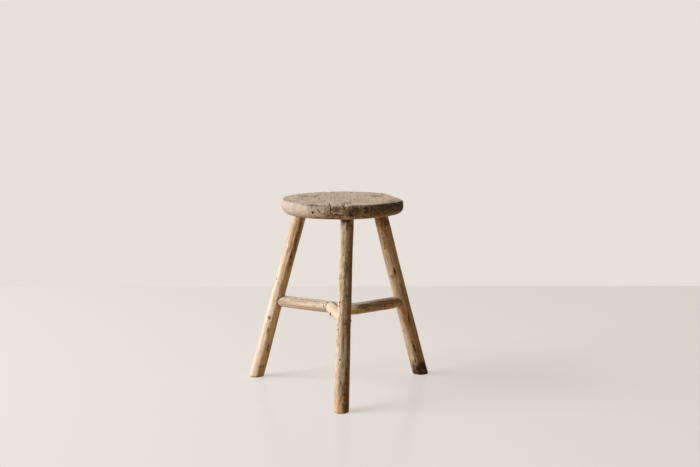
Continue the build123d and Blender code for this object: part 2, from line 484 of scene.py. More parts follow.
def seat_blank():
    """The seat as one closed mesh: an even grid over its top and its underside, and rows down its side."""
    count = SEAT_GRID
    lines = np.linspace(-1, 1, count + 1)
    u, v = np.meshgrid(lines, lines, indexing="ij")
    wide = np.abs(u) > np.abs(v)
    share = np.where(wide, np.abs(u), np.abs(v))
    safe = np.where(share == 0, 1, share)
    octant = np.where(wide, v / safe * np.sign(u + (u == 0)), -u / safe * np.sign(v + (v == 0)))
    base = np.where(wide, np.where(u > 0, 0, 180), np.where(v > 0, 90, -90))
    azimuth = base + 45 * octant
    inset, worn, depth = seat_section()

    def disc(level, row):
        radius = share * seat_radius(azimuth, inset[row], worn[row])
        turn = np.radians(azimuth)
        flat = [np.cos(turn) * radius, np.sin(turn) * radius, 0 * radius + level]
        return np.stack(flat, -1).reshape(-1, 3) + SEAT_CENTRE

    top, underside = disc(0, 0), disc(-SEAT_THICKNESS, -1)
    index = np.arange((count + 1) ** 2).reshape(count + 1, count + 1)
    edge = np.concatenate([index[:-1, 0], index[-1, :-1], index[:0:-1, -1], index[0, :0:-1]])
    quads = np.stack([index[:-1, :-1], index[1:, :-1], index[1:, 1:], index[:-1, 1:]], -1).reshape(-1, 4)
    rim_azimuth = azimuth.ravel()[edge]
    turn = np.radians(rim_azimuth)
    rows = []
    for k in range(1, SEAT_SIDE_ROWS - 1):
        radius = seat_radius(rim_azimuth, inset[k], worn[k])
        ring = np.stack([np.cos(turn) * radius, np.sin(turn) * radius, 0 * radius - depth[k]], -1)
        rows.append(ring + SEAT_CENTRE)
    vertices = np.concatenate([top, underside] + rows)
    size = (count + 1) ** 2
    levels = [edge] + [2 * size + k * len(edge) + np.arange(len(edge)) for k in range(len(rows))]
    levels.append(size + edge)
    faces = quads.tolist() + (size + quads[:, ::-1]).tolist()
    for high, low in zip(levels[:-1], levels[1:]):
        faces += np.stack([high, low, np.roll(low, -1), np.roll(high, -1)], 1).tolist()
    return new_object("seat_body", vertices, faces)


def on_top(x, y):
    """A point of the seat's top, measured from its centre, and the way up."""
    return SEAT_CENTRE + np.array([x, y, 0]), np.array([0, 0, 1.0])


def on_side(azimuth, depth):
    """A point of the seat's side at a depth below its top, and the way out."""
    inset, worn, depths = seat_section()
    radius = seat_radius(azimuth, np.interp(depth, depths, inset), np.interp(depth, depths, worn))
    turn = math.radians(azimuth)
    outward = np.array([math.cos(turn), math.sin(turn), 0])
    return SEAT_CENTRE + outward * float(radius) - np.array([0, 0, depth]), outward


# Cracks of the seat: width and depth in mm, where each crosses the rim (an azimuth, or None), its places on
# the top as (x, y) in mm from the seat's centre, and its places on the side as (azimuth, depth in mm)
SEAT_CRACKS = [
    (1.9, 7, -101, [(-32, -118)], [(-100.6, 8), (-101.0, 14), (-100.4, 20)]),
    (1.5, 8, -88, [(6, -113)], [(-87.0, 5), (-88.6, 9), (-86.4, 14)]),
    (1.0, 4, None, [], [(-100.6, 22), (-103.5, 23.5), (-106, 21), (-108.6, 21.6), (-110.6, 18), (-111.4, 14.5)]),
    (1.1, 4, None, [], [(-111.4, 15), (-113.4, 11.5), (-112.9, 8.5)]),
    (1.0, 3, -120, [(-71, -119)], [(-119.5, 8)]),
    (1.0, 3, None, [], [(-123.2, 3), (-121.4, 8), (-122.6, 13)]),
    (0.8, 1.5, None, [], [(-72, 4), (-61, 19.5)]),
    (0.8, 1.5, None, [], [(-60, 2), (-68, 21)]),
    (1.2, 5, None, [], [(-86.4, 14), (-86.9, 20), (-85.0, 27)]),
    (0.8, 4, None, [], [(-96.5, 20), (-92.0, 22.5), (-88.5, 21)]),
    (0.8, 3, None, [], [(-77, 5), (-75.5, 14), (-77.5, 25)]),
    (0.7, 3, None, [], [(-49, 4), (-48, 15), (-50, 24)]),
    (0.7, 3, None, [], [(-38, 8), (-39, 22)]),
    (1.4, 5, None, [(-69, 14), (-66, 26), (-67, 43)], []),
    (0.7, 4, None, [(28, -75), (31, -30), (27, 30)], []),
    (0.7, 4, None, [(-18, 60), (-22, 105), (-19, 132)], []),
    (0.7, 3, None, [(58, -96), (66, -50), (63, -12)], []),
    (0.7, 3, None, [(-96, -40), (-98, 0), (-94, 30)], []),
    (1.2, 7, 80, [(20, 110)], [(81, 24)]),
    (1.0, 6, 105, [(-36, 118)], [(104, 17)]),
    (0.9, 4, None, [], [(93, 8), (95, 27)]),
    (0.9, 4, None, [], [(68, 6), (66, 20)]),
]


def crack_places(rim, tops, sides):
    """Close-set points of a crack that follow the seat's surface, and the way out of it at each."""
    places = []
    for (x0, y0), (x1, y1) in zip(tops[:-1], tops[1:]):
        for share in np.linspace(0, 1, 8)[:-1]:
            places.append(on_top((x0 + (x1 - x0) * share) * MM, (y0 + (y1 - y0) * share) * MM))
    if tops:
        places.append(on_top(tops[-1][0] * MM, tops[-1][1] * MM))
    if rim is not None:
        sides = [(rim, 0.6)] + sides
    for (turn0, deep0), (turn1, deep1) in zip(sides[:-1], sides[1:]):
        for share in np.linspace(0, 1, 8)[:-1]:
            places.append(on_side(turn0 + (turn1 - turn0) * share, (deep0 + (deep1 - deep0) * share) * MM))
    if sides:
        places.append(on_side(sides[-1][0], sides[-1][1] * MM))
    if rim is not None:
        slant = unit(on_side(rim, 0)[1] + np.array([0, 0, 1.0]))
        places = [(point, slant) for point, _ in places]
    return places


# Worm holes of the seat: the place, radius and depth
def seat_pits():
    return [
        (on_side(-118, 18 * MM), 1.5 * MM, 6 * MM),
        (on_side(-68, 6.5 * MM), 1.0 * MM, 2 * MM),
        (on_side(75, 12 * MM), 0.9 * MM, 5 * MM),
        (on_side(112, 20 * MM), 1.0 * MM, 5 * MM),
        (on_side(190, 15 * MM), 0.8 * MM, 4 * MM),
        (on_top(-0.043, -0.045), 2.0 * MM, 5 * MM),
        (on_top(-0.126, -0.050), 1.3 * MM, 4 * MM),
        (on_top(0.079, 0.021), 1.5 * MM, 5 * MM),
        (on_top(-0.073, 0.022), 1.2 * MM, 4 * MM),
        (on_top(-0.060, 0.036), 1.4 * MM, 4 * MM),
        (on_top(0.052, -0.088), 0.8 * MM, 4 * MM),
        (on_top(-0.010, 0.078), 0.8 * MM, 4 * MM),
        (on_top(0.101, -0.052), 0.9 * MM, 4 * MM),
    ]


# Worm holes of the legs: height, angle, radius
LEG_PITS = {
    "front": [(0.301, -150, 0.8 * MM), (0.264, -75, 1.2 * MM), (0.248, -135, 0.9 * MM), (0.240, -136, 0.8 * MM),
              (0.196, -153, 0.8 * MM), (0.186, -146, 0.9 * MM), (0.159, -166, 0.8 * MM), (0.120, -113, 1.3 * MM),
              (0.352, 40, 0.9 * MM), (0.330, 120, 0.8 * MM), (0.090, 75, 1.0 * MM)],
    "left": [(0.261, -148, 1.1 * MM), (0.162, -125, 0.8 * MM), (0.160, -107, 0.9 * MM), (0.084, -54, 1.0 * MM),
             (0.073, -54, 0.8 * MM), (0.030, -52, 0.9 * MM), (0.300, 60, 0.9 * MM), (0.110, 130, 1.0 * MM)],
    "right": [(0.282, -84, 1.4 * MM), (0.277, -85, 1.2 * MM), (0.0215, -86, 0.8 * MM), (0.340, -120, 0.7 * MM),
              (0.120, -140, 0.9 * MM), (0.310, 60, 0.9 * MM), (0.150, 110, 1.0 * MM)],
}

# Cracks of the legs: width, depth, and the (height, angle) places that each runs through
LEG_CRACKS = {
    "front": [(0.6, 4, [(0.142, -20), (0.060, -14)]), (0.6, 4, [(0.020, 100), (0.085, 104)]),
              (0.5, 4, [(0.360, 150), (0.270, 154)])],
    "left": [(0.6, 3, [(0.136, -100), (0.115, -97)]), (0.7, 5, [(0.004, 60), (0.070, 66)]),
             (0.5, 4, [(0.400, 20), (0.300, 26)])],
    "right": [(0.8, 4, [(0.265, -150), (0.268, -128), (0.271, -100)]), (0.6, 4, [(0.205, -60), (0.150, -66)]),
              (0.7, 5, [(0.003, 30), (0.075, 36)]), (0.5, 4, [(0.410, 100), (0.310, 96)])],
}

# The four paints: a dark stain, a warm orange, a pale tone and dirt. In places the dark paint lays painted shade, and
# the pale paint lays painted sheen and painted highlights, as the patch lists below say
STAIN_AND_SHADE, WARM, PALE, DIRT = range(4)

# Patches on the legs: paint, height, angle, half their height and width in mm, strength
LEG_PATCHES = {
    # Front leg, painted light: the long pale patch at -170 is painted sheen on the side that faces the lamp, the long
    # dark patches at -94, -74 and -45 are painted shade on the side away from it, and the pale streak at 0.141, -66 is
    # a painted highlight on the shaded side
    "front": [(PALE, 0.240, -170, 220, 10, 0.7), (STAIN_AND_SHADE, 0.360, -74, 90, 4.5, 0.6), (STAIN_AND_SHADE, 0.270, -94, 170, 6, 0.4), (STAIN_AND_SHADE, 0.290, -45, 170, 10, 0.5),
              (STAIN_AND_SHADE, 0.367, -107, 40, 4.0, 0.8), (WARM, 0.367, -107, 50, 5, 0.3), (STAIN_AND_SHADE, 0.150, -92, 50, 3.5, 0.65), (PALE, 0.141, -66, 34, 3.5, 0.85), (PALE, 0.141, -110, 30, 3, 0.3), (STAIN_AND_SHADE, 0.200, -75, 14, 6, 0.85), (STAIN_AND_SHADE, 0.245, -60, 26, 5, 0.6),
              (STAIN_AND_SHADE, 0.433, -95, 9, 16, 0.85), (WARM, 0.424, -90, 6, 8, 0.6), (DIRT, 0.4335, -90, 2.5, 14, 0.7),
              (DIRT, 0.424, -70, 4, 5, 0.7), (PALE, 0.4275, -100, 2.5, 3, 0.6), (DIRT, 0.416, -86, 3, 3, 0.7),
              (WARM, 0.420, -80, 3, 3, 0.9), (PALE, 0.421, -112, 4, 3, 0.5), (STAIN_AND_SHADE, 0.265, -70, 14, 5, 0.7),
              (WARM, 0.074, -65, 4, 2.2, 1.0), (DIRT, 0.066, -62, 4, 2, 0.6), (STAIN_AND_SHADE, 0.040, -75, 26, 12, 0.75),
              (WARM, 0.025, -100, 28, 16, 0.55), (WARM, 0.004, -110, 4, 30, 0.9), (STAIN_AND_SHADE, 0.016, -70, 14, 12, 0.7),
              (DIRT, 0.010, -45, 12, 6, 0.5), (WARM, 0.030, -92, 2.5, 2, 1.0), (WARM, 0.015, -88, 2.5, 2, 1.0),
              (PALE, 0.120, -150, 60, 6, 0.5), (WARM, 0.168, -62, 20, 4, 0.5),
              (STAIN_AND_SHADE, 0.080, -52, 30, 5, 0.5), (STAIN_AND_SHADE, 0.335, -95, 16, 5, 0.6), (STAIN_AND_SHADE, 0.385, -100, 14, 3, 0.6)],
    # Left leg, painted light: the long pale patches at -165 and 180 are painted sheen on the side that faces the lamp,
    # the long dark patches at -58 and -30 are painted shade on the side away from it, and the pale streak at 0.100,
    # -70 is a painted highlight on the shaded side
    "left": [(PALE, 0.140, -165, 180, 15, 0.75), (PALE, 0.100, -120, 60, 6, 0.7), (STAIN_AND_SHADE, 0.385, -160, 80, 9, 0.45), (STAIN_AND_SHADE, 0.350, -125, 90, 14, 0.1), (STAIN_AND_SHADE, 0.370, -101, 60, 3.5, 0.75), (WARM, 0.400, -112, 24, 7, 0.25), (STAIN_AND_SHADE, 0.395, -92, 38, 5, 0.5),
             (STAIN_AND_SHADE, 0.161, -116, 6, 4, 0.7), (WARM, 0.158, -112, 5, 4, 0.6), (STAIN_AND_SHADE, 0.145, -112, 3, 3, 0.5), (STAIN_AND_SHADE, 0.360, -58, 80, 6, 0.85),
             (STAIN_AND_SHADE, 0.078, -54, 14, 5, 0.85), (STAIN_AND_SHADE, 0.430, -80, 14, 26, 0.7), (PALE, 0.140, 180, 120, 9, 0.5),
             (DIRT, 0.030, -55, 5, 3, 0.6), (STAIN_AND_SHADE, 0.012, -62, 14, 10, 0.4), (PALE, 0.110, -53, 70, 4, 0.7), (PALE, 0.100, -70, 60, 2.5, 0.5),
             (STAIN_AND_SHADE, 0.120, -30, 90, 4, 0.3), (PALE, 0.025, -140, 24, 12, 0.7), (STAIN_AND_SHADE, 0.128, -96, 14, 3, 0.8), (DIRT, 0.125, -98, 9, 1.4, 0.7), (DIRT, 0.082, -58, 8, 1.5, 0.8),
             (DIRT, 0.147, -95, 4, 1.5, 0.6), (DIRT, 0.030, -85, 4, 1.6, 0.6),
             (STAIN_AND_SHADE, 0.300, -80, 20, 4, 0.4), (STAIN_AND_SHADE, 0.245, -90, 14, 3, 0.5), (WARM, 0.002, -90, 3, 50, 0.8),
             (STAIN_AND_SHADE, 0.330, -110, 14, 3, 0.4), (DIRT, 0.320, -75, 3, 1.5, 0.4), (WARM, 0.030, -80, 24, 8, 0.2)],
    # Right leg, painted light: the long pale patch at 0.250, -160 is painted sheen on the side that faces the lamp,
    # the pale patch at 0.308, -101 is a painted highlight on a facet, and the long dark patch at 0.100, -30 is painted
    # shade on the side away from the lamp
    "right": [(STAIN_AND_SHADE, 0.282, -84, 9, 3, 1.0), (DIRT, 0.280, -84, 6, 1.6, 1.0), (PALE, 0.245, -92, 20, 5, 0.8), (STAIN_AND_SHADE, 0.266, -125, 4, 14, 0.6), (STAIN_AND_SHADE, 0.177, -87, 26, 3, 0.6),
              (STAIN_AND_SHADE, 0.400, -86, 30, 5, 0.6), (STAIN_AND_SHADE, 0.365, -111, 30, 3, 0.85), (STAIN_AND_SHADE, 0.318, -118, 25, 3, 0.5),
              (PALE, 0.250, -160, 200, 7, 0.75), (PALE, 0.308, -101, 30, 5, 1.0), (PALE, 0.310, -63, 30, 3, 0.5),
              (STAIN_AND_SHADE, 0.150, -66, 24, 4, 0.8), (DIRT, 0.152, -68, 12, 2.2, 0.7), (DIRT, 0.078, -82, 18, 2.0, 0.7), (STAIN_AND_SHADE, 0.082, -84, 20, 3, 0.7), (STAIN_AND_SHADE, 0.105, -70, 16, 3, 0.5),
              (DIRT, 0.022, -80, 17, 18, 0.88), (DIRT, 0.006, -95, 7, 30, 0.85), (STAIN_AND_SHADE, 0.020, -90, 24, 30, 0.95), (STAIN_AND_SHADE, 0.055, -74, 20, 9, 0.8),
              (DIRT, 0.010, -50, 10, 20, 0.5), (STAIN_AND_SHADE, 0.100, -30, 80, 4, 0.25), (WARM, 0.245, -100, 40, 5, 0.3),
              (STAIN_AND_SHADE, 0.418, -95, 30, 20, 0.95), (DIRT, 0.424, -70, 20, 12, 0.4), (STAIN_AND_SHADE, 0.360, -78, 30, 4, 0.45), (PALE, 0.120, -140, 80, 7, 0.7),
              (STAIN_AND_SHADE, 0.230, -65, 30, 5, 0.6), (PALE, 0.0215, -86, 2.5, 2, 1.0), (PALE, 0.095, -105, 34, 3.5, 0.75),
              (WARM, 0.090, -55, 40, 6, 0.2)],
}

# Patches on the seat's side: paint, azimuth, depth, half their width and depth in mm, strength
SEAT_SIDE_PATCHES = [
    (STAIN_AND_SHADE, -110, 11, 30, 13, 0.45), (STAIN_AND_SHADE, -102, 12, 8, 12, 0.5), (STAIN_AND_SHADE, -94, 8, 16, 10, 1.0), (STAIN_AND_SHADE, -100, 26, 30, 3, 0.8), (STAIN_AND_SHADE, -89, 16, 4, 12, 0.8),
    (STAIN_AND_SHADE, -95, 24, 19, 6, 0.85), (STAIN_AND_SHADE, -122, 6, 4, 9, 0.6), (STAIN_AND_SHADE, -116.5, 18, 5, 4, 0.5),
    (STAIN_AND_SHADE, -126, 2.0, 46, 1.9, 1.0), (DIRT, -112, 1.6, 38, 1.5, 0.65), (STAIN_AND_SHADE, -60, 2.5, 60, 2, 0.9), (STAIN_AND_SHADE, -98, 17, 8, 9, 0.35),
    (STAIN_AND_SHADE, -79, 11, 18, 15, 1.0), (STAIN_AND_SHADE, -67, 14, 8, 5, 1.0), (STAIN_AND_SHADE, -57, 21, 13, 7, 0.8),
    (STAIN_AND_SHADE, -37, 22, 20, 9, 0.7), (STAIN_AND_SHADE, -28, 8, 22, 6, 0.5), (STAIN_AND_SHADE, -45, 27, 95, 5, 0.75),
    (STAIN_AND_SHADE, -55, 14, 66, 17, 0.88), (STAIN_AND_SHADE, -14, 19, 30, 14, 0.9), (STAIN_AND_SHADE, -4, 19, 10, 14, 0.95),
    (DIRT, -82.2, 20, 8, 7, 0.95), (DIRT, -67, 14, 5, 4, 0.3), (DIRT, -88.3, 1.5, 2.5, 2.5, 0.8), (DIRT, -57, 21, 6, 2, 0.5), (DIRT, -93.5, 23, 9, 1.6, 0.6),
    (STAIN_AND_SHADE, -30, 14, 36, 18, 0.95), (DIRT, -20, 15, 28, 17, 0.6), (DIRT, -42, 14, 34, 15, 0.3),
    (DIRT, -76, 12, 14, 14, 0.28), (DIRT, -95, 12, 15, 11, 0.28), (DIRT, -46, 12, 4, 3, 0.5), (DIRT, -30, 20, 7, 2.5, 0.5), (DIRT, -76, 27, 6, 2, 0.5),
    # Painted sheen: the pale, dark and dirt patches at -156, -154 and -151 together make the side of the seat that
    # faces the lamp paler and greyer
    (PALE, -156, 15, 82, 20, 0.75), (STAIN_AND_SHADE, -154, 15, 76, 20, 0.9), (DIRT, -151, 15, 68, 20, 0.12), (STAIN_AND_SHADE, -104, 32, 42, 3, 0.9), (DIRT, -103, 32.5, 36, 2, 0.45),
    (STAIN_AND_SHADE, -45, 31, 95, 2.5, 0.8), (PALE, -124, 13, 13, 10, 0.6), (WARM, -97, 14, 26, 14, 0.25), (STAIN_AND_SHADE, -104, 12, 14, 14, 0.6), (PALE, -91.5, 20.0, 5.5, 2.2, 0.6), (WARM, -92.5, 20, 7, 3, 0.3), (PALE, -90, 12, 5, 1.3, 0.5),
    (PALE, -86.0, 4.5, 1.2, 4.5, 0.7), (WARM, -86, 30.5, 10, 3.0, 0.6), (PALE, -86, 30.5, 8, 1.8, 0.9),
    (PALE, -68.5, 6, 3, 1.5, 0.7), (WARM, -75, 7, 6, 3, 0.6), (WARM, -55, 8, 10, 3, 0.5), (PALE, -56, 7.5, 7, 1.2, 0.25),
    (WARM, -35, 10, 5, 3, 0.8), (WARM, -31, 14, 3, 2, 0.8), (PALE, -106, 22.5, 10, 1.2, 0.8), (PALE, -116, 22.5, 4, 2, 0.6),
    (WARM, -104, 23, 9, 1.6, 0.7), (PALE, -120.5, 10, 1.5, 3, 0.8), (PALE, -108, 13, 1.3, 4, 0.6),
    (WARM, -126, 2.4, 34, 1.2, 0.5), (WARM, -44, 33, 95, 1.8, 0.7), (PALE, -44, 33.2, 90, 1.2, 0.2),
    (PALE, -69, 7, 1.2, 4, 0.25), (PALE, -64, 12, 1.2, 4, 0.25), (PALE, -60.5, 4, 1.2, 3, 0.3), (PALE, -40, 5, 1, 4, 0.2),
]

# Patches on the seat's top: paint, x, y, half their x and y in mm, strength
SEAT_TOP_PATCHES = [
    # The pale patch over the whole top is painted sheen
    (PALE, 0, 0, 250, 250, 0.36),
    (DIRT, -70, 47, 5, 8, 0.8), (DIRT, -62, 59, 3.5, 10, 0.75), (DIRT, -56, 0, 3.5, 8, 0.7), (DIRT, -66, 30, 2, 12, 0.7),
    (WARM, -66, 40, 8, 12, 0.4), (PALE, -54, 45, 5, 12, 0.5), (PALE, -80, 18, 6, 16, 0.3), (DIRT, -50, 14, 2, 5, 0.5),
    (STAIN_AND_SHADE, 102, -23, 5, 8, 0.35), (DIRT, 102, -25, 2.5, 5, 0.5), (STAIN_AND_SHADE, 111, -73, 4, 6, 0.6), (DIRT, 58, 58, 3, 9, 0.5),
    (STAIN_AND_SHADE, -127, -52, 6, 7, 0.7), (DIRT, -42, -46, 3, 9, 0.9), (PALE, 9, -41, 6, 9, 0.5),
    (STAIN_AND_SHADE, 0, -52, 8, 6, 0.4), (STAIN_AND_SHADE, 44, -20, 20, 7, 0.5), (WARM, 62, 40, 34, 8, 0.5), (WARM, 84, -8, 26, 6, 0.5),
    (WARM, 20, 70, 30, 9, 0.35), (STAIN_AND_SHADE, -14, 20, 22, 6, 0.4), (PALE, 40, 22, 26, 8, 0.6), (PALE, -90, 20, 20, 9, 0.6), (STAIN_AND_SHADE, 79, 20, 5, 7, 0.7),
    (WARM, 70, 85, 6, 30, 0.3), (STAIN_AND_SHADE, 75, 60, 16, 14, 0.3), (STAIN_AND_SHADE, -105, 30, 18, 22, 0.12),
    (STAIN_AND_SHADE, 25, 50, 30, 14, 0.25), (STAIN_AND_SHADE, -32, -112, 5, 26, 0.6), (STAIN_AND_SHADE, 5, -130, 6, 18, 0.6),
    (PALE, 14, -132, 2, 6, 0.3), (WARM, 105, -10, 20, 30, 0.45), (PALE, 112, -32, 8, 12, 0.3),
    (STAIN_AND_SHADE, -60, -75, 5, 34, 0.25), (STAIN_AND_SHADE, 60, -60, 4, 40, 0.3), (WARM, -20, -90, 14, 20, 0.2),
    (STAIN_AND_SHADE, -10, 60, 4, 40, 0.3), (STAIN_AND_SHADE, 100, 70, 6, 30, 0.4), (WARM, 90, 0, 50, 70, 0.22),
]

# Dents of the seat's side: azimuth, depth, half their width and depth, how deep, all but the first in mm
SEAT_DENTS = [
    (-88, 0, 5, 4, 2.2), (-67, 14, 6, 4, 2.0), (-95, 25, 15, 4, 1.2), (-122, 7, 3, 6, 1.0), (-83.5, 20, 5, 5, 1.5),
    (-117, 18.5, 3, 3, 1.2), (-57, 22, 10, 5, 1.0), (-101, 1, 4, 4, 1.2), (60, 12, 12, 6, 1.5), (150, 20, 14, 6, 1.2),
    (-160, 24, 16, 5, 1.0), (105, 2, 6, 5, 1.5), (-20, 0, 40, 5, 2.2),
]


def leg_blank(name, leg):
    """A leg from its sole to the top of its tenon, before any cuts."""
    angles = np.linspace(0, 360, LEG_AROUND, endpoint=False)[None, :]
    foot_rows = np.array([0, 0.25, 0.6, 1.1, 1.8, 2.6, 3.5, 4.5]) * MM
    rows = np.concatenate([foot_rows, np.arange(5.6 * MM, SEAT_UNDERSIDE - 0.5 * MM, LEG_STEP), [SEAT_UNDERSIDE]])
    body = leg.at(rows[:, None], angles)
    body[rows <= 0, :, 2] = 0
    tenon_r = leg.tenon_r
    tenon_rows = np.array([0, 4, 10, 16, 22, 28, 33, 34.5, 34.75]) * MM + SEAT_UNDERSIDE
    tenon_radii = tenon_r - np.array([0, 0, 0, 0, 0, 0, 0, 0.25, 0.8]) * MM
    tenon = leg.at(tenon_rows[:, None], angles, tenon_radii[:, None])
    return skin(name, np.concatenate([body, tenon]))


def leg_tube(leg, low, high, radius):
    """A plain round bar along a leg between two heights, with level ends."""
    angles = np.linspace(0, 360, LEG_AROUND, endpoint=False)[None, :]
    rows = np.linspace(low, high, 12)[:, None]
    return skin("tube", leg.at(rows, angles, radius + 0 * rows))


def kerf(leg, slack, rise, grow):
    """The wedge's shape in a leg's tenon: slack is added to its thickness, and grow to its width."""
    half_top, half_tip, depth = 2.0 * MM, 0.5 * MM, 27 * MM
    across, _ = square_to(leg.up, np.array([0, 1.0, 0]))
    wide = np.cross(across, leg.up)
    rings = []
    levels = np.linspace(-depth - slack, rise, 20)
    for level in levels:
        half = half_tip + (half_top - half_tip) * (level + depth) / depth + slack
        half_wide = leg.tenon_r + grow
        u = np.concatenate([np.linspace(-1, 1, 14), np.full(3, 1.0), np.linspace(1, -1, 14), np.full(3, -1.0)])
        v = np.concatenate([np.full(14, -1.0), [-0.5, 0, 0.5], np.full(14, 1.0), [0.5, 0, -0.5]])
        wave = 0.07 * MM * np.sin(3 * u + level / MM / 3)
        at = leg.top + leg.up * level
        rings.append(at + np.outer(u * half_wide, wide) + np.outer(v * half + wave, across))
    return skin("kerf", np.array(rings))


def wedge(name, leg):
    """A wedge, trimmed to its tenon's round and just below the seat's top."""
    made = kerf(leg, -0.1 * MM, 5 * MM, 3 * MM)
    trim = leg_tube(leg, SEAT_UNDERSIDE - 5 * MM, SEAT_TOP - 0.15 * MM, leg.tenon_r - 0.1 * MM)
    combine(made, [trim], "INTERSECT")
    made.name = name
    return made


def peg(name, inner, axis, length):
    """A whittled peg from its inner end outwards, with a rounded head."""
    first, second = square_to(axis, np.array([0.1, 0.2, 1.0]))
    turns = np.linspace(0, 2 * np.pi, 40, endpoint=False)
    rows = np.concatenate([np.linspace(0, length - 1.2 * MM, 16), length - np.array([0.8, 0.4, 0.12, 0]) * MM])
    rings = []
    for along in rows:
        away = np.degrees(turns) % 45 - 22.5
        radius = np.minimum((PEG_R - 0.35 * MM) / np.cos(np.radians(away)), PEG_R - 0.2 * MM)
        radius = radius - 0.25 * MM * (1 - along / length)
        radius = radius - 0.9 * MM * smooth(length - 1.0 * MM, length, along)
        radius = radius - 0.4 * MM * smooth(1.0 * MM, 0, along)
        circle = np.outer(np.cos(turns) * radius, first) + np.outer(np.sin(turns) * radius, second)
        rings.append(inner + axis * along + circle)
    return skin(name, np.array(rings))


def leg_pits(name, leg):
    made = []
    for k, (height, angle, radius) in enumerate(LEG_PITS[name]):
        point = leg.at(height, angle)
        outward = leg.outward(np.array(float(angle)))
        made.append(pit(point, outward, radius, 4 * MM, leg.look["seed"] + k))
    return joined("pits", made)


def leg_cracks(name, leg):
    made = []
    for k, (width, depth, places) in enumerate(LEG_CRACKS[name]):
        heights, angles = np.array(places, float).T
        path = leg.at(heights, angles)
        made.append(crack_blade(path, leg.outward(angles), width * MM, depth * MM, 50 + leg.look["seed"] + k))
    return joined("cracks", made)


# ---------------------------------------------------------------- attributes

def distance_to(points, start, end):
    """How far points are from the line through start and end."""
    way = unit(end - start)
    off = points - start
    return np.linalg.norm(off - np.outer(off @ way, way), axis=1)


def seam(points, start, end, radius, spread):
    """1 on the surface of a round bar that runs from start towards end, fading out over spread."""
    ahead = (points - start) @ unit(end - start) > 0
    return ahead * np.exp(-((distance_to(points, start, end) - radius) / spread) ** 2)


def patches(along, angle, radius, marks, seed):
    """The four paints at points of a round piece, from its list of patches."""
    paint = np.zeros((len(along), 4))
    turn = np.radians(angle)
    spot = np.stack([np.cos(turn) * radius, np.sin(turn) * radius, along], 1)
    ragged = 0.6 * rough(spot / [0.004, 0.004, 0.014], seed)
    for channel, at, facing, half_long, half_wide, strength in marks:
        beside = np.radians(turn_between(angle, facing)) * radius
        distance = np.hypot((along - at) / MM / half_long, beside / MM / half_wide) + ragged
        paint[:, channel] = np.maximum(paint[:, channel], strength * smooth(1.3, 0.5, distance))
    return paint


def near_path(points, places):
    """How far points are from a path through the places."""
    nearest = np.full(len(points), 1.0)
    for (start, _), (end, _) in zip(places[:-1], places[1:]):
        way = end - start
        share = np.clip((points - start) @ way / (way @ way), 0, 1)
        nearest = np.minimum(nearest, np.linalg.norm(points - start - share[:, None] * way, axis=1))
    return nearest


def seat_paint(points):
    """The four paints of the seat, from its patches, cracks and holes."""
    local = (points - SEAT_CENTRE) / MM
    paint = np.zeros((len(points), 4))
    azimuth = np.degrees(np.arctan2(local[:, 1], local[:, 0]))
    from_centre = np.hypot(local[:, 0], local[:, 1])
    on_its_side = smooth(138, 144, from_centre + 7 * (local[:, 2] < -1))
    ragged = 0.6 * rough(local / [3.0, 3.0, 2.4], 201)
    for channel, facing, depth, half_wide, half_deep, strength in SEAT_SIDE_PATCHES:
        beside = np.radians(turn_between(azimuth, facing)) * 148
        distance = np.hypot(beside / half_wide, (local[:, 2] + depth) / half_deep) + ragged
        here = strength * smooth(1.3, 0.6, distance) * on_its_side
        paint[:, channel] = np.maximum(paint[:, channel], here)
    ragged = 0.4 * rough(local / [3.5, 9.0, 6.0], 207)
    for channel, x, y, half_x, half_y, strength in SEAT_TOP_PATCHES:
        distance = np.hypot((local[:, 0] - x) / half_x, (local[:, 1] - y) / half_y) + ragged
        here = strength * smooth(1.3, 0.6, distance) * smooth(-4, -1.5, local[:, 2])
        paint[:, channel] = np.maximum(paint[:, channel], here)
    faded = 0.85 + 0.5 * rough(local / 5, 205)
    for width, _, rim, tops, sides in SEAT_CRACKS:
        near = near_path(points, crack_places(rim, tops, sides)) / MM
        paint[:, DIRT] = np.maximum(paint[:, DIRT], faded * smooth(width * 1.3, width * 0.5, near))
    hollow = smooth(-0.05, -0.5, rough(local / [3.5, 12, 11], 79))
    shaded = 0.35 + 0.35 * smooth(-98, -84, azimuth) * smooth(20, 0, azimuth)
    paint[:, STAIN_AND_SHADE] = np.maximum(paint[:, STAIN_AND_SHADE], shaded * hollow * on_its_side)
    return paint


def dirty_holes(points, places, radius):
    """1 close to any of the places, for the dark rims and insides of holes."""
    near = np.zeros(len(points))
    for place in places:
        distance = np.linalg.norm(points - place, axis=1)
        near = np.maximum(near, smooth(radius * 2.2, radius, distance))
    return near


def set_attribute(piece, name, values):
    kind = "FLOAT_VECTOR" if values.shape[1] == 3 else "FLOAT_COLOR"
    data = piece.data.attributes.new(name, kind, "POINT").data
    data.foreach_set("vector" if kind == "FLOAT_VECTOR" else "color", values.astype(np.float32).ravel())


def finish_piece(piece, node, material, grain, paint):
    """Names, shades and paints a finished mesh, and puts it in the frame for its CAD node."""
    set_attribute(piece, "grain", grain)
    set_attribute(piece, "paint", np.clip(paint, 0, 1))
    piece.name = piece.data.name = node + "_wood"
    for polygon in piece.data.polygons:
        polygon.use_smooth = True
    piece.data.set_sharp_from_angle(angle=math.radians(38))
    piece.data.materials.clear()
    piece.data.materials.append(material)
    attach(piece, "root")
    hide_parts(node)


# ---------------------------------------------------------------- materials

